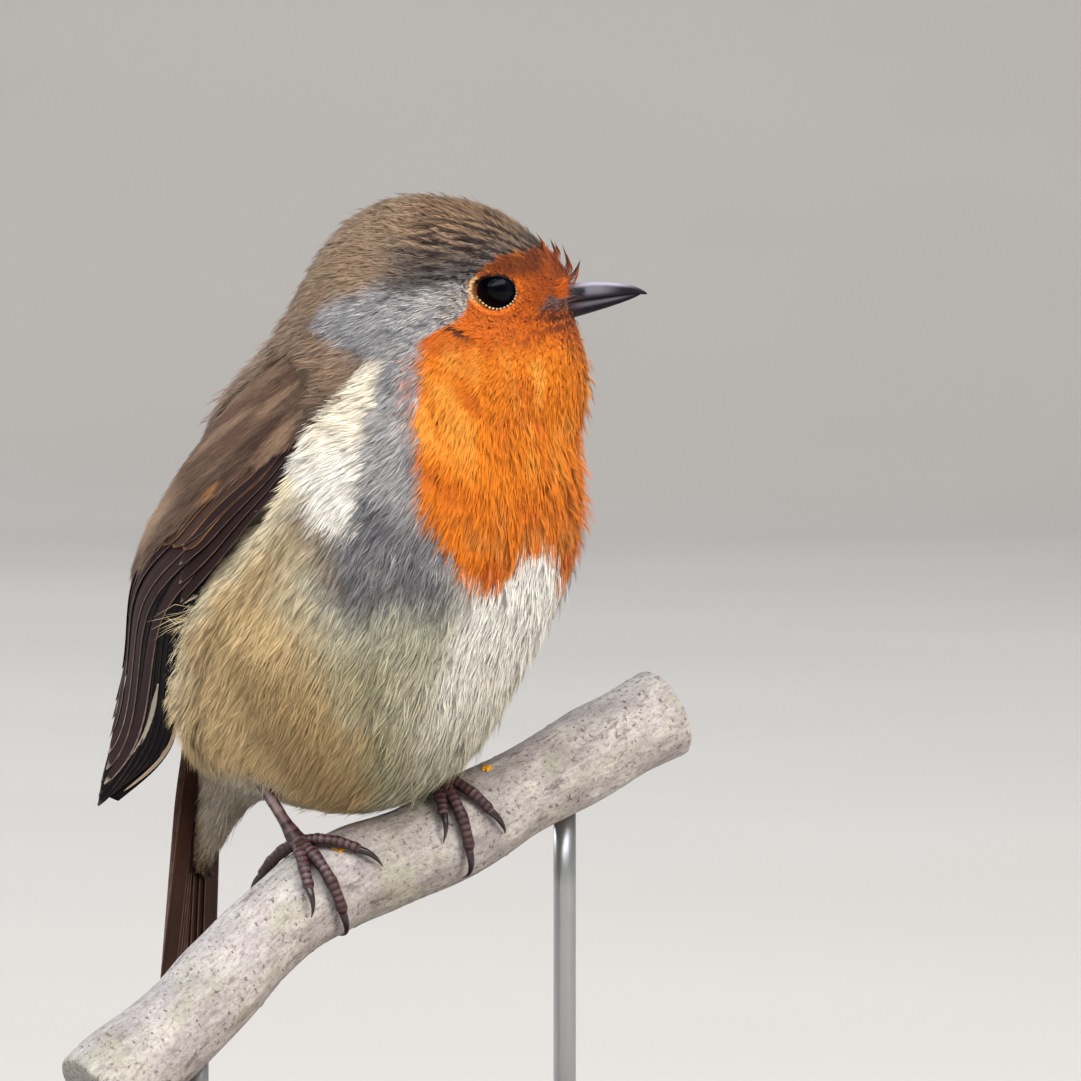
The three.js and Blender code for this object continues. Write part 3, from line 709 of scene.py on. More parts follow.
def barbTint(tip, rng):
    # colours down a barb from its tip's colour: the greyer and darker the plumage, the more its barbs
    # differ; roots are darker, partly the down's own grey and partly painted shade from the barbs over them
    bright = tip.max(-1)
    dull = smooth(0.7, 0.2, (bright - tip.min(-1)) / np.maximum(bright, 1e-3)) * smooth(0.75, 0.3, bright)
    contrast = 0.05 + 0.2 * dull
    tip = tip * np.exp(contrast * rng.normal(0, 1, bright.shape))[..., None]
    tip = tip * np.exp(rng.normal(0, 0.05, (len(tip), 1)))[..., None]
    root = tip * mix(0.68, 0.87, smooth(0.4, 0.8, bright))[..., None]
    root = mix(root, palette["down"], (0.04 + 0.5 * dull)[..., None])
    return np.stack([root, tip * 0.9, tip * 0.9, tip * 0.95, tip * 1.06], 2).reshape(-1, 3)


def bakePatch(place, fan):
    # each tuft's patch about its root's place, its barbs side by side across it
    part = np.array([-0.5, 0, 0, 0, 0.5]) + 0 * fan[..., None]
    uv = place[:, None, None] + 0.0015 * np.stack([fan[..., None] + 0 * part, 2 * part], -1)
    return np.clip(uv.reshape(-1, 2), 0.001, 0.999)


def barbFan(count, barbs, layer, length, spread, rng):
    # each barb's place across its tuft, and its root, middle and tip along and across the tuft in mm:
    # barbs start along the tuft's middle and end on its rounded tip
    shape = (count, barbs)
    fan = np.linspace(-1, 1, barbs)[None] + rng.uniform(-0.7, 0.7, shape) / barbs
    end = 1 - 0.25 * fan ** 2 - 0.14 * rng.random(shape)
    start = end - rng.uniform(0.55, 0.75, shape)
    along = np.stack([start, mix(start, end, 0.52), end], -1) * length[:, None, None]
    sideways = np.stack([0.3 * fan, 0.8 * fan, layer["tip"] * fan * rng.uniform(0.85, 1.2, shape)], -1)
    return fan, along, sideways * spread[:, None, None]


def growTufts(cells, rng, barbs, layer):
    # tufts rooted in the given cells; every point is set on the form at its own height
    i, j = np.divmod(cells, columns)
    a, b = rng.random((2, len(cells)))
    k, a3, b3 = (j + 1) % columns, a[:, None], b[:, None]
    normals = formNormals.reshape(rows, columns, 3)
    root = mix(mix(grid[i, j], grid[i, k], b3), mix(grid[i + 1, j], grid[i + 1, k], b3), a3)
    n = unit(mix(mix(normals[i, j], normals[i, k], b3), mix(normals[i + 1, j], normals[i + 1, k], b3), a3))
    place = np.stack([(j + b) / columns, 1 - (i + a) / (rows - 1)], -1)
    lie = lieOf(root, n)
    lean = np.radians(rng.normal(0, 9, len(cells)))[:, None]
    lie = lie * np.cos(lean) + np.cross(n, lie) * np.sin(lean)
    h = trunkFrame.local(root)[:, 2]
    length = byPlace(root, layer["length"]) * rng.uniform(0.8, 1.15, len(cells))
    onBelly = smooth(0, -12, h) * smooth(-36, -26, h)
    length = length * mix(1, coatShape["belly"], onBelly) * smooth(-52, -34, h)
    length = length * mix(0.45, 1, smooth(1.1, 2.3, eyeRing(root)))
    spread = byPlace(root, layer["spread"]) * rng.uniform(0.8, 1.2, len(cells))
    depth = coatDepth(root)
    lift = (rng.normal(0, 0.07, len(cells)) + 0.22 * wobble(root, 4.5, 11.0)) * depth + edgeBump[cells]
    lift = lift + layer["lift"] + rng.exponential(1.0, len(cells)) * layer["stand"] * depth
    upright = (rng.random(len(cells)) < coatShape["upright"]) * (layer["stand"] > 0)
    proud = rng.uniform(0.4, 1.1, len(cells)) * np.minimum(depth, 1.3) * smooth(1.3, 3, eyeRing(root))
    lift = lift + upright * proud

    fan, along, sideways = barbFan(len(cells), barbs, layer, np.maximum(length, 1.0), spread, rng)
    n4, lie4 = n[:, None, None], lie[:, None, None]
    p = root[:, None, None] + lie4 * along[..., None] + np.cross(n4, lie4) * sideways[..., None]
    part = np.clip(along / length[:, None, None], 0, 1)
    stray = rng.normal(0, layer["stray"], fan.shape) * depth[:, None]
    height = -depth[:, None, None] * (1 - part) ** 1.5 + (lift[:, None] + stray)[..., None] * part
    for _ in range(2):
        step = height - plumage(p.reshape(-1, 3)).reshape(height.shape)
        p += n4 * np.clip(step, -coatShape["push"], coatShape["push"])[..., None]

    points, faces, shading = barbMesh(p, n, byPlace(root, layer["barb"]), rng)
    seen = mix(p[:, :, 1], p[:, :, 2], rng.random(fan.shape)[..., None])
    tint = barbTint(plumageColour(seen.reshape(-1, 3)).reshape(*fan.shape, 3), rng)
    return points, faces, shading, tint, bakePatch(place, fan)


def stacked(parts):
    # several tuft arrays as one
    starts = np.cumsum([0] + [len(part[0]) for part in parts])
    faces = np.vstack([part[1] + start for part, start in zip(parts, starts)])
    points, _, normals, tint, uv = (np.vstack([part[k] for part in parts]) for k in range(5))
    return points, faces, normals, tint, uv


def addCoat(name, slotName, parts):
    # the tufts as one piece of plumage
    points, faces, normals, tint, uv = stacked(parts)
    addPiece(name, points, [faces], barbMaterial, slotName, tint=tint, uv=uv, normals=normals)
    print(name, len(faces), "triangles")


def pointedTufts(cells, bold, rng, barbs=9):
    # small clumps whose barbs close to a point that stands a little off the coat, for a ragged outline
    root = cellMiddle[cells]
    n = slopeOf(root)
    lie = lieOf(root, n)
    wide = np.cross(n, lie)[:, None]
    length, stand, half = (
        byPlace(root, coatShape["points"][key])[:, None] * rng.uniform(0.65, 1.2, (len(cells), 1))
        for key in ("length", "stand", "spread"))
    stand = stand * bold[:, None]
    fan = np.linspace(-1, 1, barbs)[None] + rng.normal(0, 0.1, (len(cells), barbs))
    reach = 1 - 0.3 * fan ** 2 - 0.1 * rng.random(fan.shape)
    ways = []
    for along, out, apart in ((0.0, -0.7, 0.8), (0.5, 0.35, 1.0), (1.0, 1.0, 0.15)):
        over = out * stand + rng.normal(0, 0.05, fan.shape)
        ways.append(root[:, None] + lie[:, None] * (along * reach * length)[..., None]
                    + n[:, None] * over[..., None] + wide * (fan * apart * half)[..., None])
    p = np.stack(ways, 2)
    points, faces, shading = barbMesh(p, n, byPlace(root, coatShape["over"]["barb"]), rng)
    tint = barbTint(plumageColour(p[:, :, 2].reshape(-1, 3)).reshape(*fan.shape, 3), rng)
    return points, faces, shading, tint, bakePatch(bakePlace(root), fan)


print("coat")
barbMaterial = featherMaterial("contour_feather_barbs", 0.18, 0.7, 0.12)
cellHead, cellTrunk = headFrame.local(cellMiddle), trunkFrame.local(cellMiddle)
cellAngle = np.degrees(np.arctan2(cellTrunk[:, 1], cellTrunk[:, 0] + 2))  # positive to the bird's left
cellOnHead = headShare(cellMiddle) > 0.5
cellNearBill = np.hypot(cellHead[:, 0] - 5.5, cellHead[:, 2] + 0.5) < 8.5
onBill = (cellHead[:, 0] > 8.6) & (np.hypot(cellHead[:, 1], cellHead[:, 2] + 2.1) < 2.4)
growing = ~covered & (eyeRing(cellMiddle) > 1.2) & ~onBill
regions = {  # piece: slot, cells, barbs to a tuft in the under and the over layer
    "coat_face": ("plumage_head", cellOnHead & cellNearBill, (6, 3)),
    "coat_crown": ("plumage_head", cellOnHead & (cellHead[:, 2] > 3), (6, 3)),
    "coat_cheeks": ("plumage_head", cellOnHead, (6, 3)),
    "coat_vent": ("plumage_body", cellTrunk[:, 2] < -26, (7, 3)),
    "coat_belly": ("plumage_body", cellTrunk[:, 2] < -8, (9, 4)),
    "coat_breast": ("plumage_breast", np.abs(cellAngle) < 42, (11, 6)),
    "coat_right_side": ("plumage_body", (cellAngle < 0) & (cellAngle > -125), (11, 6)),
    "coat_left_side": ("plumage_body", (cellAngle > 0) & (cellAngle < 125), (9, 4)),
    "coat_back": ("plumage_body", cellTrunk[:, 0] < 99, (8, 4)),
}
taken = np.zeros(len(cellMiddle), bool)
for number, (name, (slotName, here, barbCounts)) in enumerate(regions.items()):
    rng = np.random.default_rng(100 + number)
    mine = here & ~taken & growing
    taken |= here
    parts = []
    for layerName, barbs in zip(("under", "over"), barbCounts):
        layer = coatShape[layerName]
        cells = scatter(cellArea * byPlace(cellMiddle, layer["tufts"]) * mine, rng)
        parts.append(growTufts(cells, rng, barbs, layer))
    addCoat(name, slotName, parts)


# eyes, lids and bill
print("eyes and bill")


def tubeAround(centres, ups, radii, columns):
    # a tube along a row of centres: each ring lies in the plane square to the path and starts from ups;
    # radii may change along the tube and round it
    along = unit(np.gradient(centres, axis=0))
    ups = unit(ups - (ups * along).sum(-1, keepdims=True) * along)
    sides = np.cross(along, ups)
    turn = circle(columns)
    r = np.broadcast_to(radii, (len(centres), columns)) if np.ndim(radii) == 2 else np.asarray(radii)[:, None]
    up = (r * np.cos(turn))[..., None] * ups[:, None]
    return centres[:, None] + up + (r * np.sin(turn))[..., None] * sides[:, None]


# pupil and iris are near-black as the eye's own colour, with a faint blue cast that is a painted reflection
# of the sky
eyeColours = tones({"pupil": "#010103", "iris": "#05070f", "lidPale": "#e8c79c", "lidDarkAndShade": "#35201a"})
lidShape = {"radius": 0.17, "beads": 34, "canthus": 0.5, "steps": 184, "sides": 10}


def eyeBall(side):
    # a ball with a slight corneal bulge at its outer pole; the angle from that pole sets the colour
    tilt, turn = np.linspace(0.002, math.pi - 0.002, 64)[:, None], circle(72)
    radius = eyeAt["radius"] * (1 + 0.03 * smooth(1.1, 0.0, tilt))
    points, faces = closedTube(headFrame.world(
        eyeAt["forward"] + radius * np.sin(tilt) * np.cos(turn),
        side * (eyeAt["side"] + radius * np.cos(tilt)),
        eyeAt["up"] + radius * np.sin(tilt) * np.sin(turn)))
    shade = smooth(0.42, 0.5, tilt + 0 * turn)[..., None]
    return points, faces, capped(mix(eyeColours["pupil"], eyeColours["iris"], shade))


def eyeLid(side):
    # a thin beaded rim round the opening, an ellipse drawn out to a point at its rear corner, that
    # lies on the ball; its upper half is darker with painted shade, and dark gaps part its pale beads
    steps, sides = lidShape["steps"], lidShape["sides"]
    turn = np.linspace(0, 2 * math.pi, steps, endpoint=False)
    long = eyeAt["halfLong"] * np.cos(turn) - lidShape["canthus"] * np.maximum(0, -np.cos(turn)) ** 9
    tall = eyeAt["halfTall"] * np.sin(turn) + rearLift(long)
    ball = np.sqrt(np.maximum(eyeAt["radius"] ** 2 - (long * 0.985) ** 2 - tall ** 2, 1.6))
    centres = headFrame.world(eyeAt["forward"] + long, side * (eyeAt["side"] + ball + 0.08),
                              eyeAt["up"] + tall)
    ups = np.broadcast_to(headFrame.turn((0, side, 0)), centres.shape)
    along = unit(np.roll(centres, -1, 0) - np.roll(centres, 1, 0))
    ups = unit(ups - (ups * along).sum(-1, keepdims=True) * along)
    across = np.cross(along, ups)
    ring = circle(sides)
    radius = (lidShape["radius"] * (1 + 0.16 * np.sin(lidShape["beads"] * turn)))[:, None]
    p = centres[:, None] + (radius * np.cos(ring))[..., None] * ups[:, None] * 0.9
    p = p + (radius * np.sin(ring))[..., None] * across[:, None]
    first = np.arange(sides)  # the last ring joins the first
    last, follow = (steps - 1) * sides + first, (first + 1) % sides
    closing = np.stack([last, (steps - 1) * sides + follow, follow, first], -1)
    faces = np.vstack([gridFaces(steps, sides, True), closing])
    # painted shade darkens the upper half; the dark gaps between the beads are their own colour
    dark = np.maximum(smooth(-0.1, 0.5, np.sin(turn)), smooth(0.3, -0.4, np.sin(lidShape["beads"] * turn)))
    tint = mix(eyeColours["lidPale"], eyeColours["lidDarkAndShade"], dark[:, None])
    return p.reshape(-1, 3), [faces], np.repeat(tint, sides, 0)


def tintedMaterial(name, roughness, coat=0.0, specular=0.5, grain=None):
    # a plain shader that takes its colour from the piece's own tint; grain is (size in mm, relief in mm)
    material, tree, shader = newMaterial(name, {"Roughness": roughness, "Specular IOR Level": specular,
                                                "Coat Weight": coat, "Coat Roughness": 0.03})
    tint = addNode(tree, "ShaderNodeAttribute", attribute_name="tint").outputs["Color"]
    tree.links.new(tint, shader.inputs["Base Color"])
    if grain:
        place = addNode(tree, "ShaderNodeTexCoord").outputs["Object"]
        noise = addNode(tree, "ShaderNodeTexNoise",
                        {"Vector": place, "Scale": perMillimetre(grain[0]), "Detail": 4.0})
        bump = addNode(tree, "ShaderNodeBump", {"Strength": 0.6, "Distance": grain[1] / 1000,
                                                "Height": noise.outputs["Fac"]})
        tree.links.new(bump.outputs["Normal"], shader.inputs["Normal"])
    return material


wetEye = tintedMaterial("wet_cornea", 0.13, specular=0.11)  # clear wet surface over a dark iris: sharp glints
lidSkin = tintedMaterial("eyelid_skin", 0.5, grain=(0.2, 0.05))  # thin bare skin, satin
for side, sideName in ((-1, "right"), (1, "left")):
    points, faces, tint = eyeBall(side)
    addPiece(f"eyeball_{sideName}", points, faces, wetEye, "eye", tint=tint, replaces=(f"eye_{sideName}",))
    points, faces, tint = eyeLid(side)
    addPiece(f"eyelid_{sideName}", points, outward(points, faces), lidSkin, "plumage_head", tint=tint)

billShape = {"base": 8.0, "tip": 20.4, "baseUp": -2.3, "tipUp": -1.8, "halfDepth": 2.45, "halfWidth": 2.5,
             "hump": 0.42, "lowerShort": 0.8, "hook": 0.3, "nostril": (10.3, 1.2), "nostrilHalf": (1.6, 0.55)}
# sheen is the colour of a painted sheen; slot is the colour of painted shade in the nostril and along the
# bite line
billColours = tones({"horn": "#17151c", "sheen": "#a29eae", "edge": "#332e36", "root": "#35282c",
                     "slot": "#060507"})


def billHalf(sign):
    # rings from base to tip: a half ellipse over a flat biting face; the upper half's tip turns down a
    # little and carries a slot-like nostril on each side near its base. The tint holds a painted sheen on
    # the top and painted shade in the nostril and along the bite line
    b, colour = billShape, billColours
    u, turn = np.linspace(0, 1, 90)[:, None] ** 0.9, circle(56)
    length = b["tip"] - b["base"] - (0 if sign > 0 else b["lowerShort"])
    x = b["base"] + length * u
    across = -np.cos(turn) * (b["halfWidth"] * (1 - u) ** 1.15 + 0.18)
    arch = np.sin(turn)
    taper = (1 - u) ** (0.56 if sign > 0 else 0.68)
    keel = np.maximum(arch, 0) ** (0.9 if sign > 0 else 1.0)
    across = across * (1 if sign > 0 else 0.94)
    hump = b["hump"] * np.sin(math.pi * u) if sign > 0 else 0.0
    depth = keel * (b["halfDepth"] * taper + hump + 0.12) - 0.02
    bite = mix(b["baseUp"], b["tipUp"], (x - b["base"]) / (b["tip"] - b["base"]))
    z = bite + sign * depth - b["hook"] * smooth(0.84, 1.0, u) * (sign > 0)
    x, across, z = np.broadcast_arrays(x, across, z)
    # the nostril is a patch of painted shade in the slot colour; the mesh has no opening there
    slot = 0.0
    if sign > 0:
        along = (x - b["nostril"][0]) / b["nostrilHalf"][0]
        rise = (z - bite - b["nostril"][1] - 0.12 * along) / b["nostrilHalf"][1]
        slot = smooth(1.15, 0.85, np.hypot(along, rise)) * (np.abs(across) > 0.2)
    points, faces = closedTube(headFrame.world(x, across, z))
    # painted sheen: the pale sheen colour along the upper half's ridge, round the nostril's front, and
    # faintly along the lower half's side
    flank = smooth(0.62, 0.93, arch) if sign > 0 else smooth(0.05, 0.3, arch) * smooth(0.6, 0.3, arch)
    if sign > 0:
        paintedHighlight = smooth(0.26, 0.36, u) * smooth(0.75, 0.46, u) * smooth(0.1, 0.35, arch)
        flank = np.maximum(flank, 0.28 * paintedHighlight)
    flank = flank * smooth(0.02, 0.25, u) * smooth(1.0, 0.62, u) * (1.0 if sign > 0 else 0.3)
    tint = mix(colour["horn"], colour["sheen"], flank[..., None])
    tint = mix(tint, colour["edge"], (0.5 * smooth(0.3, 0.0, arch) * smooth(0.9, 0.2, u))[..., None])
    rooted = smooth(0.35, 0.05, u) * (0.9 if sign < 0 else 0.4) + 0 * arch
    if sign > 0:
        rooted = np.maximum(rooted, 0.9 * smooth(0.32, 0.24, u) * smooth(0.85, 0.6, arch))
    tint = mix(tint, colour["root"], rooted[..., None])
    # a line of painted shade along the bite line between the two halves, also in the slot colour
    crease = 0.9 * smooth(0.12, 0.03, arch) * smooth(-0.4, -0.1, arch) + 0 * u
    return points, faces, capped(mix(tint, colour["slot"], np.maximum(crease, slot)[..., None]))


horn = tintedMaterial("dark_horn", 0.42, specular=0.14, grain=(0.5, 0.02))  # smooth keratin, soft gloss
for sign, name in ((1, "bill_upper"), (-1, "bill_lower")):
    points, faces, tint = billHalf(sign)
    addPiece(name + "_horn", points, faces, horn, "bill_and_claws", tint=tint, replaces=(name,))


# fine plumes of the face: rings round the eyes, bristles at the gape and two loose plumes
def plumeBarbs(ways, thick, tints, rng, tipShade=1.1):
    # single barbs along given ways (root, middle, tip), in one tuft each of the bake map
    p = ways[:, None]
    n = slopeOf(p[:, 0, 1])
    points, faces, shading = barbMesh(p, n, np.full(len(p), thick), rng)
    tint = tints * np.exp(rng.normal(0, 0.18, (len(p), 1)))
    # darker at the root: partly the feathers' own grey bases, partly painted shade from the plumage they rise
    # from
    tint = np.stack([tint * 0.75, tint * 0.9, tint * 0.9, tint, tint * tipShade], 1).reshape(-1, 3)
    return points, faces, shading, tint, bakePatch(bakePlace(p[:, 0, 0]), np.zeros((len(p), 1)))


def bakePlace(p):
    # the place on the skin's unwrap nearest to each point
    spots = formPoints.reshape(rows, columns, 3)[::3, ::3]
    flat, wide = spots.reshape(-1, 3), spots.shape[1]
    best = np.concatenate([np.linalg.norm(part[:, None] - flat[None], axis=-1).argmin(1)
                           for part in np.array_split(p, len(p) // 400 + 1)])
    return np.stack([(best % wide) * 3 / columns, 1 - (best // wide) * 3 / (rows - 1)], -1)


def onFace(x, side, z, height):
    # a point over the face at forward x and up z, at a height over the plumage
    p = headFrame.world(x, side * (8.0 + 0 * x), z)
    for _ in range(8):
        q = headFrame.local(p)
        q[:, 1] -= 0.8 * side * (plumage(p) - height)
        p = headFrame.world(q)
    return p


facePlumes = {"ringBarbs": 700, "ringLength": 0.17, "bristles": 84, "rootBarbs": 150}
plumeColours = tones({"ringPale": "#dcb283", "bristle": "#6c5f68", "bristleDark": "#45200f"})


def eyeRingBarbs(side, rng):
    # tiny feathers that radiate from the lid in the face's colours, paler behind and below the eye
    turn = rng.uniform(0, 2 * math.pi, facePlumes["ringBarbs"])
    inner = rng.uniform(1.02, 1.24, len(turn))
    ways = []
    for share, height in ((0.0, -0.14), (0.5, 0.06), (1.0, 0.06)):
        ring = inner + share * facePlumes["ringLength"] * rng.uniform(0.8, 1.2, len(turn))
        swept = turn + share * 0.12 * np.sin(turn)
        x = eyeAt["forward"] + eyeAt["halfLong"] * ring * np.cos(swept)
        z = eyeAt["up"] + eyeAt["halfTall"] * ring * np.sin(swept) + rearLift(x - eyeAt["forward"])
        ways.append(onFace(x, side, z, height))
    ways = np.stack(ways, 1)
    pale = smooth(0.95, 0.6, np.sin(turn)) * smooth(-0.8, -0.35, np.sin(turn))
    pale = pale * smooth(-0.2, -0.8, np.cos(turn)) * smooth(1.16, 1.04, inner)
    return ways, mix(plumageColour(ways[:, 2]), plumeColours["ringPale"], 0.7 * pale[:, None])


def bristleWays(side, rng):
    # stiff pale and dark bristles from the lores forward over the bill's root
    count = facePlumes["bristles"]
    x = rng.uniform(4.8, 8.3, count)
    z = -2.2 - 0.45 * (8.3 - x) + rng.normal(0, 0.75, count)
    root = onFace(x, side, z, -0.1)
    middle = onFace(x + 1.1, side, z + 0.45, 0.2)
    tip = headFrame.world(x + rng.uniform(1.6, 3.2, count), side * rng.uniform(2.0, 2.6, count),
                          np.minimum(z + rng.uniform(0.7, 1.5, count), -1.3))
    dark = smooth(-2.4, -3.6, z + rng.normal(0, 0.8, count))[:, None]
    return np.stack([root, middle, tip], 1), mix(plumeColours["bristle"], plumeColours["bristleDark"], dark)


def rootWays(side, rng):
    # short rusty feathers that lap forward on to the upper bill's root
    count = facePlumes["rootBarbs"]
    x, z = rng.uniform(7.6, 8.8, count), rng.uniform(-1.9, 1.0, count)
    root = onFace(x, side, z, -0.1)
    middle = onFace(x + 0.6, side, z + 0.1, 0.25)
    tip = middle + headFrame.turn(np.stack([rng.uniform(0.4, 1.3, count), 0 * x - 0.25 * side,
                                            rng.uniform(0.1, 0.7, count)], -1))
    tint = mix(palette["rust"], palette["orangeDeep"], rng.random((count, 1)))
    return np.stack([root, middle, tip], 1), tint


def loosePlume(path, count, rng):
    # a slender plume: barbs that start side by side and meet at its tip
    root, middle, tip = (np.array(p, float) for p in path)
    fan = np.linspace(-1, 1, count)[:, None] + rng.normal(0, 0.1, (count, 1))
    wide = np.array((-0.4, 0.45, 0.65))
    ways = np.stack([root + 1.1 * wide * fan, middle + 0.6 * wide * fan + rng.normal(0, 0.08, (count, 3)),
                     tip - (tip - middle) * 0.4 * rng.random((count, 1)) ** 2], 1)
    return headFrame.world(ways), mix(palette["rust"], palette["orangeDeep"], rng.random((count, 1)) ** 1.5)


rng = np.random.default_rng(211)
onFront = smooth(78, 50, cellAngle) * smooth(0, 22, cellAngle)
edgeOn = np.maximum(onFront, smooth(132, 150, np.abs(cellAngle)))
onFront = onFront * smooth(-2, 8, cellTrunk[:, 2]) * smooth(3, -3, cellHead[:, 2])
edgeOn = np.maximum(edgeOn * smooth(-30, -10, cellTrunk[:, 2]), cellOnHead * smooth(1, 6, cellHead[:, 2]))
cells = scatter(cellArea * mix(0.02, mix(0.1, 0.2, onFront), edgeOn) * growing * (cellTrunk[:, 2] > -34), rng)
addCoat("coat_points", "plumage_body", [pointedTufts(cells, mix(1.0, 1.8, onFront[cells]), rng)])

rng = np.random.default_rng(7)
ringParts = [plumeBarbs(w[0], 0.12, w[1], rng) for w in (eyeRingBarbs(side, rng) for side in (-1, 1))]
bristleParts = [plumeBarbs(w[0], 0.08, w[1], rng)
                for w in (ways(side, rng) for ways in (bristleWays, rootWays) for side in (-1, 1))]
plumePaths = [  # root, middle and tip in the head's frame
    [(9.2, -1.5, 0.9), (9.9, -1.6, 3.2), (9.2, -1.6, 6.2)],
    [(9.8, -1.2, 0.2), (10.8, -1.2, 1.6), (11.6, -1.0, 3.6)],
    [(8.0, -2.2, 3.2), (8.4, -2.4, 5.0), (7.7, -2.5, 6.9)],
    [(6.6, -2.8, 4.9), (6.7, -3.0, 6.4), (5.9, -3.0, 7.9)],
    [(9.2, 0.9, 1.0), (9.9, 1.1, 2.7), (9.5, 1.2, 4.6)],
    [(8.0, 1.8, 3.4), (8.3, 2.0, 5.0), (7.8, 2.2, 6.4)],
]
looseParts = [plumeBarbs(w[0], 0.15, w[1], rng, 0.3)
              for w in (loosePlume(path, 40, rng) for path in plumePaths)]
addCoat("coat_eye_rings", "plumage_head", ringParts)
addCoat("coat_bristles", "plumage_head", bristleParts)
addCoat("coat_loose_plumes", "plumage_head", looseParts)


# wings: flight feathers and greater coverts under soft scapulars and lesser coverts
print("wings")
wingColours = tones({
    "shadeSheet": "#0f0b0e", "primary": "#0f0d12", "secondary": "#37282a", "tertial": "#5a4034",
    "covert": "#4b3932", "alula": "#2c1e1f", "edge": "#a58c7d", "paleEdge": "#e3d3c0", "rusty": "#a8764c",
    "lens": "#b8aa9c", "tipEdge": "#b39d88",
    "soft": "#6f5647", "softPale": "#ad9076", "softDark": "#40302a",
})


def vanePiece(rings, u, across, shaftAt, edge, tint, edgeTint):
    # a closed leaf with the numbers that its material draws from
    points, faces = closedTube(rings)
    count = len(points)
    along = np.append((u + 0 * across).ravel(), (0, 1))
    wide = np.append((across + 0 * u).ravel(), (0, 0))
    data = {"along": along, "across": wide, "shaft": np.full(count, shaftAt),
            "edging": edge * mix(0.55, 1.0, smooth(0.5, 0.85, along)),
            "rusty": np.full(count, float(edgeTint == "rusty"))}
    return points, faces, np.tile(tint, (count, 1)), data


def wingVane(side, start, end, half, lift, colour, edge, shaftAt=-0.35, curve=0.0, tilt=0.28, tip=0.14,
             edgeTint="edge"):
    # one feather on the wing's sheet from start to end, both (s, t): its half width rises from the
    # quill, holds, and rounds off at the tip; its lower edge stands over the feather below it
    u = np.linspace(0, 1, 34)[:, None]
    turn = circle(18)
    across = np.cos(turn) + 0 * u
    s = mix(start[0], end[0], u) + 0 * across
    rounded = np.sqrt(np.clip(1 - (np.maximum(0, u - 1 + tip) / (tip + 0.005)) ** 2, 0.004, 1))
    width = half * mix(0.35, 1.0, smooth(0, 0.3, u)) * rounded
    t = mix(start[1], end[1], u) + curve * np.sin(math.pi * u)
    t = t + across * width / readOff(wingShape["breadth"], s)
    shaft = 0.08 * np.exp(-((across - shaftAt) / 0.09) ** 2) * (np.sin(turn) > 0)
    height = lift + 0.05 * (1 - across ** 2) - tilt * across * smooth(0, 0.25, u) + shaft
    p = wingPoint(side, s, t, height - 0.4 + 0.07 * np.sin(turn) * rounded)
    return vanePiece(p, u, across, shaftAt, edge, wingColours[colour], edgeTint)


def addVanes(name, vanes, replaces):
    # the feathers as one piece, each with its own strip of the bake map
    points, faces, tint = joined([v[:3] for v in vanes])
    data = {key: np.concatenate([v[3][key] for v in vanes]) for key in vanes[0][3]}
    strip = np.concatenate([np.full(len(v[0]), k) for k, v in enumerate(vanes)])
    uv = np.stack([(strip + 0.5 + 0.42 * data["across"]) / len(vanes), 0.02 + 0.96 * data["along"]], -1)
    addPiece(name, points, faces, vane, "flight_feathers", tint=tint, extra=data, uv=uv, replaces=replaces)


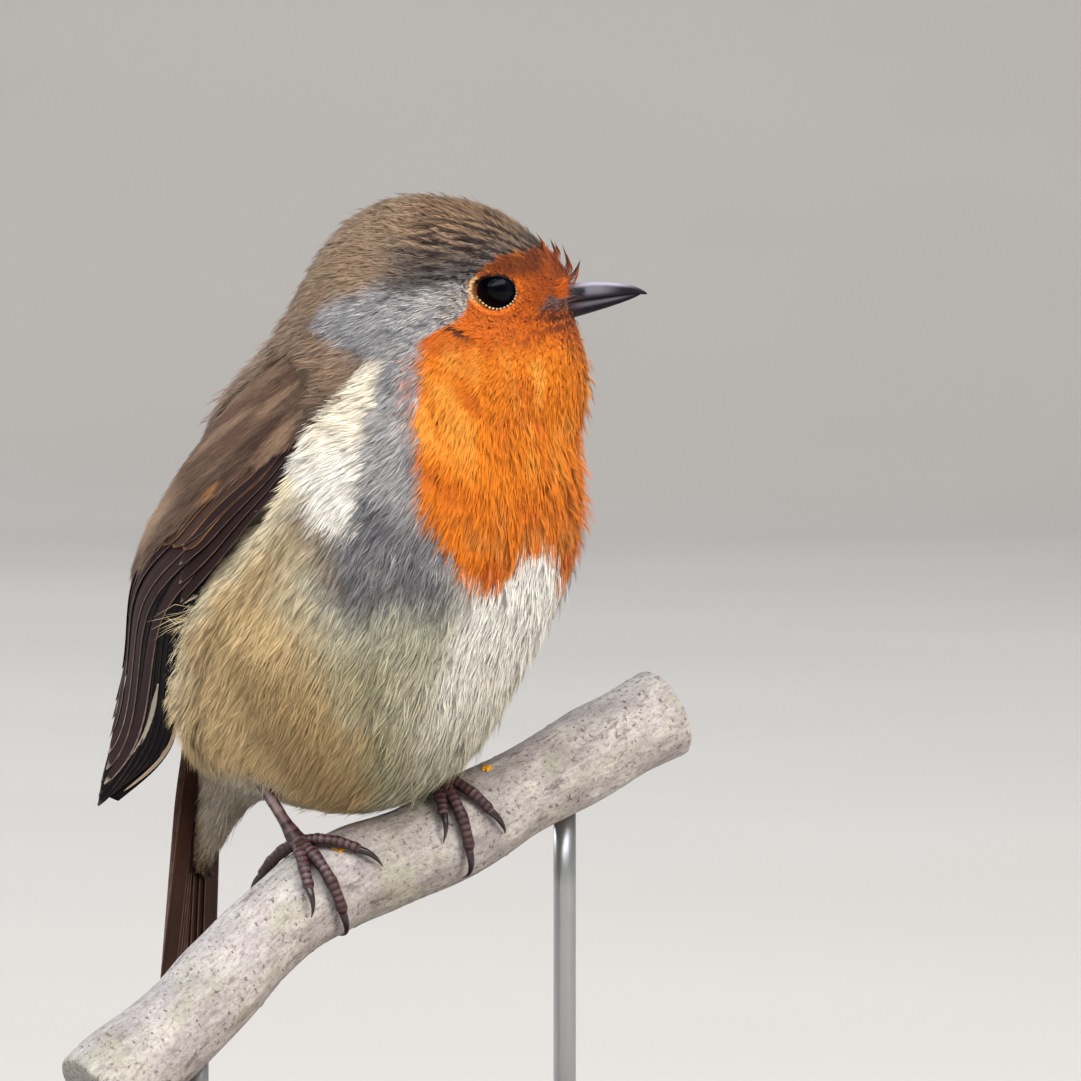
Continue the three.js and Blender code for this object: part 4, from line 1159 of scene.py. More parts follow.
def vaneMaterial():
    # stiff closed vanes, keratin with a faint sheen: slanting barb lines, a darker shaft and a paler
    # line along the lower edge and the tip, worked out from the feather's own along and across
    material, tree, shader = newMaterial("flight_feather_vane",
                                         {"Roughness": 0.55, "Specular IOR Level": 0.08})
    got = {key: addNode(tree, "ShaderNodeAttribute", attribute_name=key).outputs["Fac"]
           for key in ("along", "across", "shaft", "edging", "rusty")}
    got["tint"] = addNode(tree, "ShaderNodeAttribute", attribute_name="tint").outputs["Color"]
    place = addNode(tree, "ShaderNodeTexCoord").outputs["Object"]
    got["noise"] = addNode(tree, "ShaderNodeTexNoise", {"Vector": place, "Scale": perMillimetre(1.4),
                                                        "Detail": 3.0}).outputs["Fac"]
    for name, operation, clamp, *values in (  # each share worked out from those before it
            ("fromShaft", "SUBTRACT", False, "across", "shaft"),
            ("fromShaft", "ABSOLUTE", False, "fromShaft"),
            ("barbs", "MULTIPLY", False, "along", 330.0),
            ("slant", "MULTIPLY", False, "fromShaft", -26.0),
            ("barbs", "ADD", False, "barbs", "slant"),
            ("barbs", "SINE", False, "barbs"),
            ("barbs", "MULTIPLY_ADD", False, "barbs", 0.12, 0.12),
            ("mottle", "MULTIPLY", False, "noise", 0.6),
            ("edge", "ABSOLUTE", False, "across"),
            ("edge", "SUBTRACT", False, "edge", 0.86),
            ("edge", "MULTIPLY", True, "edge", 14.0),
            ("ragged", "MULTIPLY_ADD", True, "noise", 1.6, -0.1),
            ("edge", "MULTIPLY", False, "edge", "ragged"),
            ("edge", "MULTIPLY", True, "edge", "edging"),
            ("tip", "SUBTRACT", False, "along", 0.972),
            ("tip", "MULTIPLY", True, "tip", 45.0),
            ("tipEdging", "MULTIPLY", False, "edging", 0.8),
            ("tip", "MULTIPLY", True, "tip", "tipEdging"),
            ("line", "SUBTRACT", False, 0.05, "fromShaft"),
            ("line", "MULTIPLY", True, "line", 30.0),
            ("line", "MULTIPLY", False, "line", 0.6)):
        inputs = {k: got.get(value, value) for k, value in enumerate(values)}
        got[name] = addNode(tree, "ShaderNodeMath", inputs, operation=operation, use_clamp=clamp).outputs[0]
    edge, paleEdge, rusty = ((*wingColours[key], 1) for key in ("edge", "paleEdge", "rusty"))
    for name, share, base, over, blend in (  # each layer of colour over the ones before it
            ("colour", "mottle", "tint", (0.5, 0.5, 0.5, 1), "MULTIPLY"),
            ("colour", "barbs", "colour", (0.82, 0.8, 0.78, 1), "MULTIPLY"),
            ("edgeColour", "rusty", edge, rusty, "MIX"),
            ("colour", "edge", "colour", "edgeColour", "MIX"),
            ("tipColour", "rusty", paleEdge, rusty, "MIX"),
            ("colour", "tip", "colour", "tipColour", "MIX"),
            ("colour", "line", "colour", (0.02, 0.014, 0.012, 1), "MIX")):
        inputs = {0: got[share], 6: got.get(base, base), 7: got.get(over, over)}
        got[name] = addNode(tree, "ShaderNodeMix", inputs, data_type="RGBA", blend_type=blend).outputs[2]
    tree.links.new(got["colour"], shader.inputs["Base Color"])
    return material


vane = vaneMaterial()


wingFeathers = {
    "primaryTips": (0.86, 0.91, 0.95, 0.975, 0.99, 0.99, 0.97, 0.945),  # how far along the wing each ends
    # each secondary's share of pale edge and its bend
    "secondaries": ((1, -0.02), (0.7, 0.01), (1, -0.01), (0.85, 0.02), (1, 0.0), (0.8, 0.02)),
    "tertials": 3, "alula": 4, "coverts": 9,
}


def wingShadeSheet(side):
    # a thin closed near-black sheet under the feathers, so that nothing shows between them: painted shade
    s = np.linspace(0.015, 0.965, 60)[:, None]
    turn = circle(28)
    t = 0.5 - 0.47 * np.cos(turn)
    p = wingPoint(side, s, t + 0 * s, -0.95 + 0.3 * np.sin(turn) + 0 * s)
    return vanePiece(p, s, np.cos(turn) + 0 * s, -0.9, 0.0, wingColours["shadeSheet"], "edge")


def flightFeathers(side):
    # from the lowest feather up: primaries, then secondaries, then tertials; each lies on the last
    made = [wingShadeSheet(side)]
    tips, secondaries = wingFeathers["primaryTips"], wingFeathers["secondaries"]
    for k, tip in enumerate(tips):
        w = k / (len(tips) - 1)
        made.append(wingVane(side, (0.4, mix(0.02, 0.2, w)), (tip, mix(0.16, 0.66, w)), mix(2.0, 2.3, w),
                             -0.05 + 0.04 * k, "primary", 1.0 if k == 0 else mix(0.02, 0.15, w), curve=-0.03,
                             tip=0.2))
    made.append(wingVane(side, (0.72, -0.02), (0.935, 0.03), 0.22, 0.42, "tipEdge", 0.0, tip=0.4, tilt=0.0))
    made.append(wingVane(side, (0.69, 0.15), (0.87, 0.28), 0.42, 0.36, "lens", 0.3, shaftAt=0.1, tip=0.85,
                         tilt=0.0))
    for k, (edge, curve) in enumerate(secondaries):
        w = k / (len(secondaries) - 1)
        made.append(wingVane(side, (0.26, mix(0.03, 0.42, w)), (mix(0.94, 0.8, w), mix(0.5, 0.92, w)), 2.0,
                             0.3 + 0.05 * k, "secondary", edge, shaftAt=-0.45, curve=curve, tilt=0.24))
    for k in range(wingFeathers["tertials"]):
        w = k / (wingFeathers["tertials"] - 1)
        made.append(wingVane(side, (0.22, mix(0.45, 0.82, w)), (mix(0.72, 0.62, w), mix(0.74, 0.95, w)),
                             mix(2.6, 3.0, w), 0.7 + 0.12 * k, "tertial", 0.4, shaftAt=-0.1))
    return made


def greaterCoverts(side):
    # the dark alula and primary coverts at the lower edge, and the greater coverts' rusty-tipped ends
    made = []
    for k in range(wingFeathers["alula"]):
        made.append(wingVane(side, (0.14, 0.02 + 0.05 * k), (0.5 - 0.035 * k, 0.05 + 0.07 * k), 1.6,
                             0.6 + 0.1 * k, "alula", 0.5, tip=0.3))
    for k in range(wingFeathers["coverts"]):
        w = k / (wingFeathers["coverts"] - 1)
        made.append(wingVane(side, (0.16, mix(0.16, 0.72, w)), (mix(0.4, 0.46, w), mix(0.24, 0.8, w)), 2.1,
                             0.75 + 0.04 * k, "covert", 0.75, curve=0.03, edgeTint="rusty"))
    return made


def softWing(side, rng, barbs, layer, density):
    # tufts rooted on the wing's sheet from the shoulder down to the greater coverts, denser at the top
    count = int(density * 1080)
    s, t = rng.uniform(-0.02, 0.53, 2 * count), rng.uniform(0.0, 1.06, 2 * count)
    low = readOff(wingShape["softLow"], s)
    kept = np.flatnonzero(t > low + rng.normal(0, 0.03, 2 * count))
    s, t, count = s[kept], t[kept], len(kept)
    length = layer["length"][0] * rng.uniform(0.75, 1.1, count)
    spread = np.full(count, layer["spread"][0] * 0.85)
    fan, along, sideways = barbFan(count, barbs, layer, length, spread, rng)
    long, broad = wingShape["long"], wingShape["broad"]
    flat = np.stack([s * long, t * broad, 0 * s], -1)
    lean = rng.normal(0, 0.12, count) + 0.12 + 0.12 * wobble(flat, 12.0, 2.0)
    cosine, sine = np.cos(lean)[:, None, None], np.sin(lean)[:, None, None]
    at = s[:, None, None] + (along * cosine - sideways * sine) / long
    over = t[:, None, None] - (sideways * cosine + along * sine) / readOff(wingShape["breadth"], at)
    part = np.clip(along / length[:, None, None], 0, 1)
    clumps = 0.25 * wobble(flat, 5.0, 7.0) + layer["lift"]
    clumps = clumps + rng.exponential(1.0, count) * layer["stand"] + rng.normal(0, 0.1, count)
    top = mix(1.5, 0.9, smooth(0.34, 0.48, s))[:, None, None]
    clumps = clumps[:, None] + rng.normal(0, layer["stray"], fan.shape)
    height = mix(-0.1, top, part) + clumps[..., None] * part
    p = wingPoint(side, at, over, height)
    root = wingPoint(side, s, t, 0.0)
    n = unit(wingPoint(side, s, t, 1.0) - root)
    points, faces, shading = barbMesh(p, n, np.full(count, layer["barb"][0]), rng)
    # brown, paler along the upper edge and in streaks, darker in others
    tipAt, tipOver = at[..., 2], over[..., 2]
    place = np.stack([tipAt * 20, tipOver * broad, 0 * fan], -1)
    colour = np.broadcast_to(wingColours["soft"], (*fan.shape, 3))
    for name, share in (
            ("softPale", 0.8 * smooth(0.78, 1.02, tipOver + 0.1 * wobble(place, 5))),
            ("softPale", 0.55 * smooth(0.1, 0.7, wobble(place, 4.0, 3.0))),
            ("softDark", 0.7 * smooth(0.15, 0.7, wobble(place, 5.0, 8.0))),
            ("softPale", (0.7 * smooth(0.3, 0.4, tipAt) * smooth(0.5, 0.44, tipAt)
                          * smooth(0.4, 0.55, tipOver))),
            ("rusty", 0.9 * smooth(0.03, 0.008, np.hypot(tipAt - 0.3, 0.6 * (tipOver - 0.33))))):
        colour = mix(colour, wingColours[name], share[..., None])
    return points, faces, shading, barbTint(colour, rng), bakePatch(bakePlace(root), fan)


for side, sideName in ((-1, "right"), (1, "left")):
    wing = f"wing_{sideName}"
    addVanes(wing + "_flight_feathers", flightFeathers(side), (wing + "_primaries", wing + "_secondaries"))
    addVanes(wing + "_greater_coverts", greaterCoverts(side), (wing + "_coverts",))
    rng = np.random.default_rng(60 + side)
    addCoat("coat_" + wing, "plumage_body", [
        softWing(side, rng, 9, coatShape["under"], 1.1), softWing(side, rng, 4, coatShape["over"], 1.6)])


def flankWisps(side, rng, count=26):
    # a few long fine barbs that come off the flank in a loose bunch and lie over the wing's lower edge
    s, t = 0.505 + rng.normal(0, 0.011, count), rng.uniform(-0.14, -0.06, count)
    reach = 0.06 + 0.26 * rng.random(count) ** 2
    ways = [wingPoint(side, s + k * rng.uniform(0.02, 0.08, count), t + k * reach,
                      mix(0.3, 0.8, k) + rng.normal(0, 0.1, count)) for k in (0.0, 0.55, 1.0)]
    tint = mix(palette["buffPale"], palette["buff"], rng.random((count, 1)))
    return plumeBarbs(np.stack(ways, 1), 0.09, tint, rng)


rng = np.random.default_rng(31)
addCoat("coat_flank_wisps", "plumage_body", [flankWisps(side, rng) for side in (-1, 1)])


# tail: twelve feathers, the middle pair on top
tailShape = {"root": (-29, 0, -15), "end": (-33.9, 0, -66), "halfWidth": 3.4, "notch": 1.6}
tailColours = tones({"middle": "#7a5040", "outer": "#4a342f"})


def tailVane(side, k):
    # feather k counted from the middle: a long leaf along the tail's line, set out and down by k
    u = np.linspace(0, 1, 46)[:, None]
    turn = circle(18)
    across = np.cos(turn) + 0 * u
    length = 1 - tailShape["notch"] / 51 * (1 - smooth(0, 3, k))
    line = np.array(tailShape["end"]) - tailShape["root"]
    centre = np.array(tailShape["root"]) + line * (u * length)[..., None]
    rounded = np.sqrt(np.clip(1 - (np.maximum(0, u - 0.92) / 0.083) ** 2, 0.004, 1))
    width = tailShape["halfWidth"] * mix(0.4, 1, smooth(0, 0.45, u)) * rounded
    out = side * (mix(0.25, 0.85, u) * k + mix(0.4, 0.9, u))
    y = out + across * width * mix(1, 0.5, k / 5)
    x = 1.2 - 0.3 * k - 0.05 * y ** 2 / 7 + 0.2 * across * side
    shaftAt = side * mix(0.05, 0.55, k / 5)
    ridge = 0.09 * np.exp(-((across - shaftAt) / 0.09) ** 2) * np.sin(turn)
    x = x + 0.1 * (1 - across ** 2) + 0.08 * np.sin(turn) * rounded + ridge
    local = np.stack([centre[..., 0] - x, centre[..., 1] + y, centre[..., 2] + 0 * y], -1)
    tint = mix(tailColours["middle"], tailColours["outer"], smooth(0, 4, k) * 0.8)
    return vanePiece(trunkFrame.world(local), u, -side * across, -side * shaftAt, 0.85, tint, "edge")


print("tail")
addVanes("tail_feathers", [tailVane(side, k) for k in range(5, -1, -1) for side in (-1, 1)], ("tail",))


# the cut branch
print("branch, feet and stand")
branch = {"radius": 6.55, "pattern": 6.5, "sides": 176, "rings": 300}  # pattern: the radius it is drawn on
branchLine = smoothCurve([(-38.5, -21.2, 23.2), (-25.5, -14, 33.9), (-14.3, -7.9, 45.6), (-5.5, -3, 51.6),
                          (6.9, 3.8, 56.4), (21.1, 11.6, 63.9), (34.9, 19.2, 71.3), (41.5, 22.8, 74.6)])


def branchRadius(u):
    # the radius along the branch, with two slow waves
    return branch["radius"] * (1 + 0.035 * np.sin(13 * u + 0.6) + 0.03 * np.sin(31 * u))


def onBranch(u, turn, lift):
    # a point round the branch: turn 0 is its top and a quarter turn its front
    u, turn, lift = np.broadcast_arrays(np.asarray(u, float), turn, lift)
    along = tangentOf(branchLine, u)
    front = unit(np.cross(along, (0.0, 0.0, 1.0)))
    reach = (branchRadius(u) + lift)[..., None]
    out = np.cross(front, along) * np.cos(turn)[..., None] + front * np.sin(turn)[..., None]
    return branchLine(u) + out * reach


def perchMesh():
    # bark: a tube with long low ridges, shallow dents and raised pores in short rows across it; the
    # sawn ends close over a slightly proud middle. Also gives the bark's own unrolled place
    u = np.linspace(0, 1, branch["rings"])[:, None]
    turn = circle(branch["sides"])[None]
    far = u * branchLine.length
    ring = together(branch["pattern"] * np.cos(turn), branch["pattern"] * np.sin(turn), far)
    ridges = 0.09 * wobble(ring * (1, 1, 0.16), 2.6, 1.0)
    dents = 0.2 * wobble(ring * (1, 1, 0.7), 11.0, 4.0) - 0.1 * smooth(0.45, 0.8, wobble(ring, 3.1, 8.0))
    pores = 0.13 * smooth(0.5, 0.85, wobble(ring * (0.7, 0.7, 2.2), 2.3, 2.5))
    pores = pores * smooth(0, 0.5, wobble(ring, 7, 3))
    sawn = smooth(0.0, 0.4, far) * smooth(0.0, 0.4, branchLine.length - far)
    lift = (ridges + dents + pores) * sawn - 0.35 * (1 - sawn)
    points, faces = closedTube(onBranch(u, turn, lift))
    ring = np.vstack([ring.reshape(-1, 3), (0, 0, 0), (0, 0, branchLine.length)])
    return points, faces, {"roundX": ring[:, 0], "roundY": ring[:, 1], "along": ring[:, 2]}


barkLook = {
    "ground": [(0.3, "#918b8d"), (0.5, "#aca7a6"), (0.7, "#c1bdb8")],
    # each noise's grain size across in mm, stretch along the branch, detail, roughness and offset
    "grains": {"ground": (5.0, 1.6, 4.0, 0.6, 0.0), "cast": (7.0, 1.4, 4.0, 0.6, 20.0),
               "cracks": (0.5, 2.2, 4.0, 0.6, 3.0), "flecks": (0.8, 0.8, 4.0, 0.6, 9.0),
               "pale": (1.8, 2.2, 4.0, 0.6, 31.0), "dust": (0.35, 1.3, 4.0, 0.6, 41.0),
               "blots": (2.4, 3.0, 6.0, 0.75, 14.0)},
    # each layer's colour, where it sets in and is full on its noise, and how strong it is
    "layers": {"cast": ("#989a82", 0.5, 0.66, 0.6), "cracks": ("#857679", 0.47, 0.65, 0.6),
               "flecks": ("#544749", 0.58, 0.66, 0.85), "pale": ("#d2cec6", 0.52, 0.7, 0.45),
               "dust": ("#7c7471", 0.5, 0.62, 0.35), "blots": ("#5d4c52", 0.57, 0.65, 0.65)},
}


def barkMaterial():
    # smooth pale bark, dry and matt: pinkish grey with a green-grey cast in patches, fine cracks along
    # it, dark flecks and darker blots, all on the unrolled bark
    material, tree, shader = newMaterial("smooth_pale_bark", {"Roughness": 0.85, "Specular IOR Level": 0.25})
    roundX, roundY, along = (addNode(tree, "ShaderNodeAttribute", attribute_name=key).outputs["Fac"]
                             for key in ("roundX", "roundY", "along"))
    noises = {}
    for name, (size, stretch, detail, roughness, offset) in barkLook["grains"].items():
        drawn = addNode(tree, "ShaderNodeMath", {0: along, 1: 1 / stretch}, operation="MULTIPLY")
        place = addNode(tree, "ShaderNodeCombineXYZ", {0: roundX, 1: roundY, 2: drawn.outputs[0]})
        shifted = addNode(tree, "ShaderNodeVectorMath", {0: place.outputs[0], 1: (offset, 0, offset)},
                          operation="ADD")
        noises[name] = addNode(tree, "ShaderNodeTexNoise", {
            "Vector": shifted.outputs[0], "Scale": 1 / size, "Detail": detail,
            "Roughness": roughness}).outputs["Fac"]
    colour = addNode(tree, "ShaderNodeValToRGB", {"Fac": noises["ground"]},
                     [(at, linear(value)) for at, value in barkLook["ground"]]).outputs["Color"]
    for name, (value, low, high, strength) in barkLook["layers"].items():
        share = addNode(tree, "ShaderNodeMapRange", {"Value": noises[name], "From Min": low, "From Max": high,
                                                     "To Max": strength}).outputs[0]
        colour = addNode(tree, "ShaderNodeMix", {0: share, 6: colour, 7: linear(value)},
                         data_type="RGBA").outputs[2]
    tree.links.new(colour, shader.inputs["Base Color"])
    bump = addNode(tree, "ShaderNodeBump", {"Strength": 0.7, "Distance": 0.00012, "Height": noises["cracks"]})
    tree.links.new(bump.outputs["Normal"], shader.inputs["Normal"])
    return material


points, faces, data = perchMesh()
addPiece("perch_branch", points, faces, barkMaterial(), "bark", extra=data, replaces=("perch",))


lichenSpots = [(0.462, 0.62, 1.1), (0.474, 0.75, 0.6), (0.715, 0.3, 0.7)]  # along, round, radius in mm
lichenColour = tones({"crust": "#e3a51c"})["crust"]


def lichenLobes(u, turn, radius, rng):
    # a low rosette: a crinkled cap on the bark whose rim is drawn out into rounded lobes
    ring = np.linspace(0.03, 1, 14)[:, None]
    around = circle(72)
    lobes = 1 + 0.22 * np.cos(6 * around + rng.uniform(0, 6)) + 0.1 * np.cos(11 * around + rng.uniform(0, 6))
    away = radius * lobes * ring
    height = 0.12 + 0.16 * smooth(1.05, 0.6, ring) + 0.08 * np.sin(9 * around + 14 * ring) * ring
    p = onBranch(u + away * np.cos(around) / branchLine.length,
                 turn + away * np.sin(around) / branch["radius"], height - 0.3 * smooth(0.93, 1.0, ring))
    points, faces = closedTube(p)
    return points, faces, np.tile(lichenColour, (len(points), 1))


rng = np.random.default_rng(5)
lichen = tintedMaterial("yellow_lichen", 0.9, grain=(0.3, 0.15))  # dry crusty lobes, matt
points, faces, tint = joined([lichenLobes(*spot, rng) for spot in lichenSpots])
addPiece("perch_lichen", points, faces, lichen, "bark", tint=tint)


# legs, toes and claws
legShape = {"tarsus": 0.9, "pad": 1.3, "toe": 0.85, "claw": 0.62, "gap": 0.3, "reach": 0.86}
tarsusRise = np.array((-15.5, 0.0, 19.6))  # from the foot to the heel: forward, left, up
feet = {  # where on the branch, and each toe's heading from its axis in degrees, length and claw length
    "right": (0.427, -0.02, {"inner": (56, 9, 3.4), "middle": (96, 14.5, 4.2), "outer": (116, 9.5, 3.4),
                             "hind": (232, 7.5, 5)}),
    "left": (0.648, -0.02, {"inner": (120, 8.5, 3.4), "middle": (103, 14, 4.2), "outer": (76, 10.5, 3.6),
                            "hind": (268, 7.5, 5)}),
}
# pale is used only for the tarsus' painted highlight
legColours = tones({"skin": "#341d20", "groove": "#1e1015", "scute": "#684d50", "pale": "#a18c8a",
                    "claw": "#2a2022", "clawTip": "#4b3f40"})
legSides = 26  # points round a toe and round the tarsus


def onToe(at, turn, heading, distance, lift):
    # a point on a toe that sets out from the foot and winds round the branch
    angle = math.radians(heading)
    u = at + distance * math.cos(angle) / branchLine.length
    return onBranch(u, turn + distance * math.sin(angle) / (branch["radius"] + legShape["toe"]), lift)


def scaledTube(centres, ups, radii, bands, scuteHeight, wear):
    # a tube whose upper side carries overlapping scutes: in each band the surface rises and drops back
    turn = circle(legSides)
    u = np.linspace(0, 1, len(centres))
    saw = (u * bands) % 1.0
    step = smooth(0.0, 0.3, saw) * (1 - 0.5 * smooth(0.3, 1.0, saw)) * smooth(1.0, 0.93, saw)
    facing = smooth(-0.15, 0.55, np.cos(turn))
    net = 0.35 * np.abs(np.sin(2.5 * turn[None] + 7 * np.floor(u * bands * 1.7)[:, None]))
    rise = scuteHeight * (step[:, None] * facing + net * (1 - facing) * step[:, None])
    bumpy = radii[:, None] * (1 + 0 * turn) + rise
    points, faces = closedTube(tubeAround(centres, ups, bumpy, legSides))
    grown = np.clip(step[:, None] * 1.8 + 0 * turn, 0, 1)
    shade = mix(legColours["groove"], legColours["skin"], grown[..., None])
    worn = 1 - wear + wear * np.sin(7.0 * np.floor(u * bands) + 2.0) ** 2  # some scutes are paler than others
    # the scute colour goes on the upper side only: partly the scutes' own paler horn, partly a painted
    # highlight where light falls on top
    middle = smooth(0.1, 0.8, np.cos(turn))
    plate = (smooth(0.5, 1.0, step) * worn)[:, None] * middle * 0.85
    return points, faces, capped(mix(shade, legColours["scute"], plate[..., None]))


def footParts(at, turn, toes, outerSide):
    # the toes, round whose joints the skin swells in soft bumps; the tarsus, a straight tube that
    # widens at both ends, with a painted highlight along its outer edge; and a ball between them
    parts = []
    for heading, length, _ in toes.values():
        u = np.linspace(0, 1, 100)
        swell = 0.12 * np.exp(-(((u[:, None] * 3.4 + 0.35) % 1.0 - 0.5) / 0.2) ** 2).sum(1)
        radii = legShape["toe"] * (mix(1.06, 0.84, u) + 1.3 * swell) * (1 - 0.42 * smooth(0.88, 1.0, u))
        height = legShape["toe"] + legShape["gap"] + 0.1
        centres = onToe(at, turn, heading, u * length, height - 0.25 * u)
        ups = onToe(at, turn, heading, u * length, height + 1) - onToe(at, turn, heading, u * length, height)
        parts.append(scaledTube(centres, unit(ups), radii, round(length * 1.2), 0.07, 0.6))
    ankle = onBranch(at, turn, legShape["pad"] + legShape["gap"])
    rise = trunkFrame.turn(tarsusRise)
    u = np.linspace(-0.03, legShape["reach"], 150)
    radii = legShape["tarsus"] * (0.9 + 0.6 * smooth(0.16, -0.02, u) + 0.14 * smooth(0.75, 1.0, u))
    ups = np.broadcast_to(trunkFrame.turn(unit(np.array((0.6, outerSide, 0.5)))), (150, 3))
    points, faces, shade = scaledTube(ankle + rise * u[:, None], ups, radii, 13, 0.08, 0.4)
    # painted highlight: the pale colour laid along the tarsus' outer, upper side
    paintedHighlight = smooth(0.66, 0.98, np.cos(circle(legSides))) * smooth(0.1, 0.26, u)[:, None]
    shade = mix(shade, legColours["pale"], 0.75 * np.append(paintedHighlight, (0, 0))[:, None])
    parts.append((points, faces, shade))
    tilt, turns = np.linspace(0.02, math.pi - 0.02, 24)[:, None], circle(32)
    ball = together(np.sin(tilt) * np.cos(turns), np.sin(tilt) * np.sin(turns), np.cos(tilt))
    points, faces = closedTube(ankle + ball * legShape["pad"] * 1.1)
    parts.append((points, faces, np.tile(legColours["skin"], (len(points), 1))))
    return parts


def clawParts(at, turn, heading, length, claw):
    # the claw leaves the toe's tip, arches and comes down to the bark; deeper than it is wide
    u = np.linspace(0, 1, 40)
    lift = mix(legShape["toe"] + legShape["gap"] - 0.1, 0.35, u) + 0.75 * np.sin(math.pi * u)
    start = length - 0.35
    centres = onToe(at, turn, heading, start + u * (claw + 0.7), lift)
    ups = unit(onToe(at, turn, heading, start + u * (claw + 0.7), lift + 1) - centres)
    radii = mix(legShape["claw"] * 0.92, 0.06, u ** 1.25)
    points, faces = closedTube(tubeAround(centres, ups, radii, 20))
    shade = np.repeat(mix(legColours["claw"], legColours["clawTip"], smooth(0.5, 1, u)[:, None]), 20, 0)
    return points, faces, capped(shade)


legSkin = tintedMaterial("scaly_leg_skin", 0.42, grain=(0.25, 0.06))  # horny scutes, slightly glossy
clawHorn = tintedMaterial("claw_horn", 0.3, coat=0.2)  # smooth dark keratin
for sideName, (at, turn, toes) in feet.items():
    points, faces, tint = joined(footParts(at, turn, toes, 1 if sideName == "left" else -1))
    addPiece(f"foot_and_tarsus_{sideName}", points, faces, legSkin, "leg_skin", tint=tint,
             replaces=(f"foot_{sideName}", f"leg_{sideName}"))
    for toeName, (heading, length, claw) in toes.items():
        points, faces, tint = clawParts(at, turn, heading, length, claw)
        addPiece(f"claw_{sideName}_{toeName}_horn", points, faces, clawHorn, "bill_and_claws", tint=tint,
                 replaces=(f"claw_{sideName}_{toeName}",))


# the display stand
standShape = {"corner": 12.0, "bevel": 1.2, "sides": 256}
standColours = {"wood": "#422d22", "woodPale": "#58402f", "fleck": "#2b1c14", "steel": "#b9bbbd"}


def standBase():
    # a block with rounded corners and a soft bevel: rings of a rounded rectangle, drawn in at the edges
    low, high = (np.array(corner) * 1000 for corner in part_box("stand_base"))
    middle, half = (low + high) / 2, (high - low) / 2
    corner, bevel = standShape["corner"], standShape["bevel"]
    turn = circle(standShape["sides"])
    ease = np.linspace(0, math.pi / 2, 8)
    inset = np.concatenate([bevel * (1 - np.sin(ease)), bevel * (1 - np.cos(ease))])
    z = np.concatenate([low[2] + bevel * (1 - np.cos(ease)), high[2] - bevel * (1 - np.sin(ease))])
    inset = np.concatenate([[half[1] * 0.6], inset, [half[1] * 0.6]])[:, None]
    z = np.concatenate([[low[2]], z, [high[2]]])[:, None]
    reach = np.maximum(corner - inset, 0.5)
    x = middle[0] + np.sign(np.cos(turn)) * (half[0] - inset - reach) + reach * np.cos(turn)
    y = middle[1] + np.sign(np.sin(turn)) * (half[1] - inset - reach) + reach * np.sin(turn)
    return closedTube(together(x, y, z))


def woodMaterial():
    # dark oiled wood: long straight grain, short darker flecks and a soft satin finish
    material, tree, shader = newMaterial("dark_oiled_wood", {"Roughness": 0.45})
    place = addNode(tree, "ShaderNodeTexCoord").outputs["Object"]
    noises = []
    for size, stretch, detail in ((5.0, 14.0, 3.0), (0.7, 6.0, 2.0)):
        drawn = addNode(tree, "ShaderNodeVectorMath", {0: place, 1: (1 / stretch, 1, 1)},
                        operation="MULTIPLY")
        noises.append(addNode(tree, "ShaderNodeTexNoise", {
            "Vector": drawn.outputs[0], "Scale": perMillimetre(size), "Detail": detail}).outputs["Fac"])
    grain = addNode(tree, "ShaderNodeValToRGB", {"Fac": noises[0]},
                    [(0.35, linear(standColours["wood"])), (0.65, linear(standColours["woodPale"]))])
    fleck = addNode(tree, "ShaderNodeMapRange", {"Value": noises[1], "From Min": 0.6, "From Max": 0.68,
                                                 "To Max": 0.5})
    mixed = addNode(tree, "ShaderNodeMix", {0: fleck.outputs[0], 6: grain.outputs["Color"],
                                            7: linear(standColours["fleck"])}, data_type="RGBA")
    tree.links.new(mixed.outputs[2], shader.inputs["Base Color"])
    return material


def steelMaterial():
    # brushed stainless steel rod
    material, tree, shader = newMaterial("brushed_steel", {"Base Color": linear(standColours["steel"]),
                                                           "Metallic": 1.0})
    place = addNode(tree, "ShaderNodeTexCoord").outputs["Object"]
    drawn = addNode(tree, "ShaderNodeVectorMath", {0: place, 1: (1, 1, 0.03)}, operation="MULTIPLY")
    grain = addNode(tree, "ShaderNodeTexNoise", {"Vector": drawn.outputs[0], "Scale": perMillimetre(0.25)})
    rough = addNode(tree, "ShaderNodeValToRGB", {"Fac": grain.outputs["Fac"]},
                    [(0.3, (0.3, 0.3, 0.3, 1)), (0.7, (0.42, 0.42, 0.42, 1))])
    tree.links.new(rough.outputs["Color"], shader.inputs["Roughness"])
    return material


def rod(name):
    # a round rod from just inside the base to just inside the bark
    low, high = (np.array(corner) * 1000 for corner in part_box(name))
    middle, radius = (low + high) / 2, (high[0] - low[0]) / 2
    turn, z = circle(48), np.linspace(low[2] - 0.6, high[2] + 0.1, 6)[:, None]
    return closedTube(together(middle[0] + radius * np.cos(turn), middle[1] + radius * np.sin(turn), z))


wood, steel = woodMaterial(), steelMaterial()
addPiece("stand_block", *standBase(), wood, "stand_wood", replaces=("stand_base",))
for name in ("stand_rod_lower", "stand_rod_upper"):
    addPiece(name + "_round", *rod(name), steel, "stand_steel", replaces=(name,))


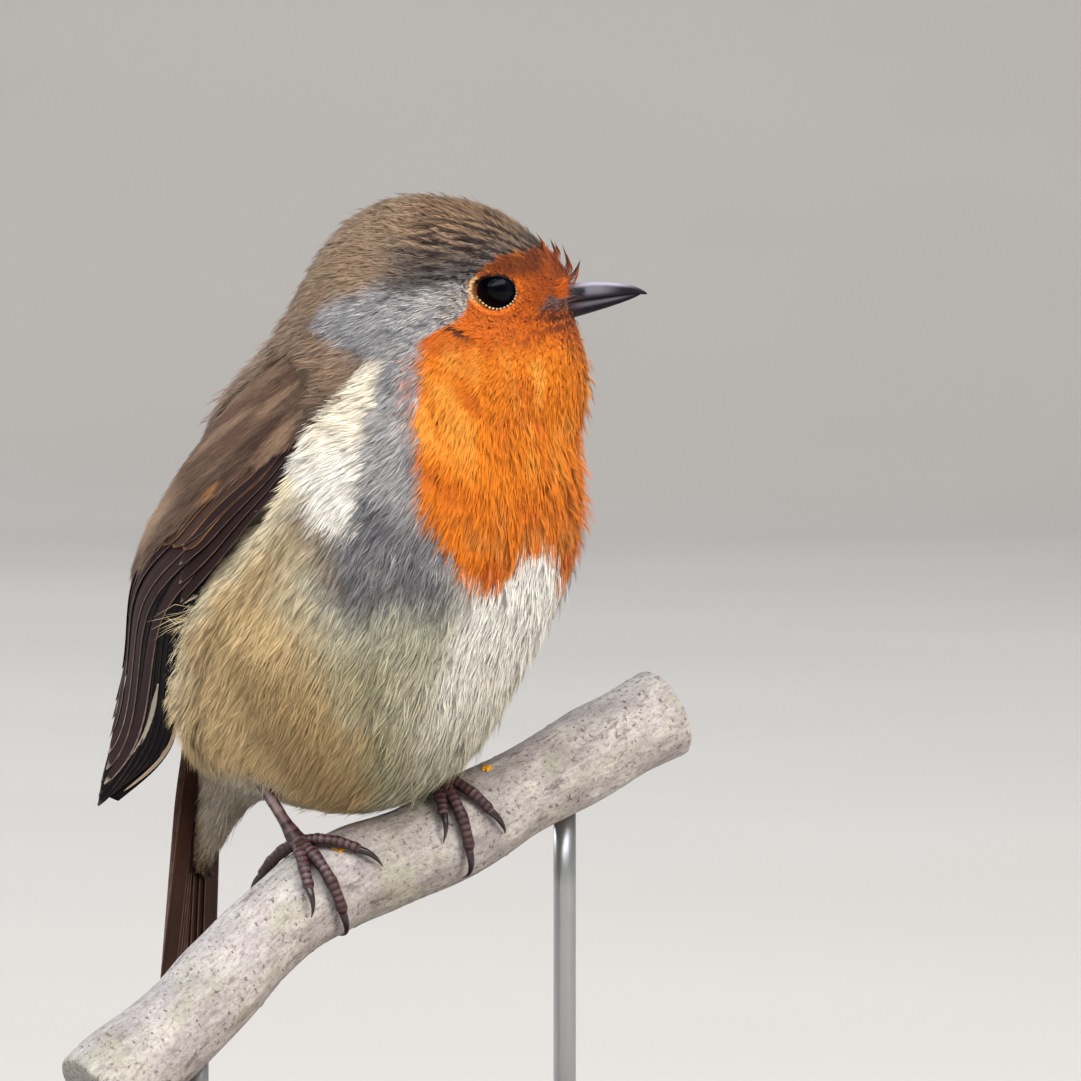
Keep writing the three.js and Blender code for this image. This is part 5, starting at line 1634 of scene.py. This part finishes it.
# light, floor and camera
view = {"target": (23.7, 0, 100), "distance": 1500.0, "elevation": 2.0, "halfWidth": 76.13}
eye = math.radians(view["elevation"])
back = np.array([0, -math.cos(eye), math.sin(eye)])
cameraData = bpy.data.cameras.new("camera")
cameraData.sensor_width = 36
cameraData.lens = 18 * view["distance"] / view["halfWidth"]
cameraData.clip_start, cameraData.clip_end = 0.05, 50
camera = bpy.data.objects.new("camera", cameraData)
camera.location = (np.array(view["target"]) + back * view["distance"]) * 0.001
camera.rotation_euler = (math.pi / 2 - eye, 0, 0)
bpy.context.scene.collection.objects.link(camera)
bpy.context.scene.camera = camera

bowl = {"flat": 3.0, "rise": 3.4, "reach": 5.4, "sides": 96}  # metres


def backdrop():
    # a disc that curves up into a wall all round: a quarter ellipse carried round the middle
    bend = np.linspace(0, math.pi / 2, 24)
    radius = np.concatenate([np.linspace(0.02, bowl["flat"], 12),
                             bowl["flat"] + (bowl["reach"] - bowl["flat"]) * np.sin(bend[1:])])
    height = np.concatenate([np.zeros(12), bowl["rise"] * (1 - np.cos(bend[1:]))])
    turn = np.linspace(0, 2 * math.pi, bowl["sides"], endpoint=False)
    p = together(radius[:, None] * np.cos(turn), radius[:, None] * np.sin(turn), height[:, None])
    points = np.vstack([p.reshape(-1, 3), [[0, 0, 0]]]) * 1000
    j = np.arange(bowl["sides"])
    middle = np.stack([np.full(bowl["sides"], len(points) - 1), j, (j + 1) % bowl["sides"]], -1)
    return points, [gridFaces(len(radius), bowl["sides"], True)[:, ::-1], middle]


paper, tree, shader = newMaterial("backdrop_paper", {"Roughness": 0.95})  # matt seamless paper
grain = addNode(tree, "ShaderNodeTexNoise", {"Scale": 3.0, "Detail": 2.0,
                "Vector": addNode(tree, "ShaderNodeTexCoord").outputs["Object"]})
tone = addNode(tree, "ShaderNodeValToRGB", {"Fac": grain.outputs["Fac"]},
               [(0.3, linear("#bdbab5")), (0.7, linear("#c2bfba"))])
tree.links.new(tone.outputs["Color"], shader.inputs["Base Color"])
floor = addPiece("floor", *backdrop(), paper, None)


def softBox(name, at, aim, size, watts, hexColour, glints):
    # a round soft light that faces its aim; places and size in metres
    lampData = bpy.data.lights.new(name, "AREA")
    lampData.shape, lampData.energy = "ELLIPSE", watts
    lampData.size, lampData.size_y = size
    lampData.color = linear(hexColour)[:3]
    lamp = bpy.data.objects.new(name, lampData)
    w = unit(np.array(at, float) - aim)
    u = unit(np.cross((0.0, 1.0, 0.001), w))
    lamp.matrix_world = Matrix([*np.column_stack([u, np.cross(w, u), w, at]).tolist(), (0, 0, 0, 1)])
    lamp.visible_glossy = glints
    bpy.context.scene.collection.objects.link(lamp)


lights = {  # place, size, watts and colour, and whether shiny surfaces mirror it
    "sky_light": ((-0.5, -1.9, 2.9), (6.0, 2.4), 175, "#fafcff", True),
    "front_light": ((2.4, -2.4, 1.0), (1.8, 1.8), 95, "#fff4e6", False),
    "rim_light": ((-2.0, 2.0, 1.8), (1.6, 1.6), 40, "#eef3ff", True),
}
for name, (at, size, watts, hexColour, glints) in lights.items():
    softBox(name, at, (0, 0, 0.1), size, watts, hexColour, glints)
world = bpy.data.worlds.new("studio")
bpy.context.scene.world = world
world.use_nodes = True
world.node_tree.nodes["Background"].inputs["Color"].default_value = linear("#e6e6e8")
world.node_tree.nodes["Background"].inputs["Strength"].default_value = 0.6
bpy.context.scene.view_settings.view_transform = "Standard"
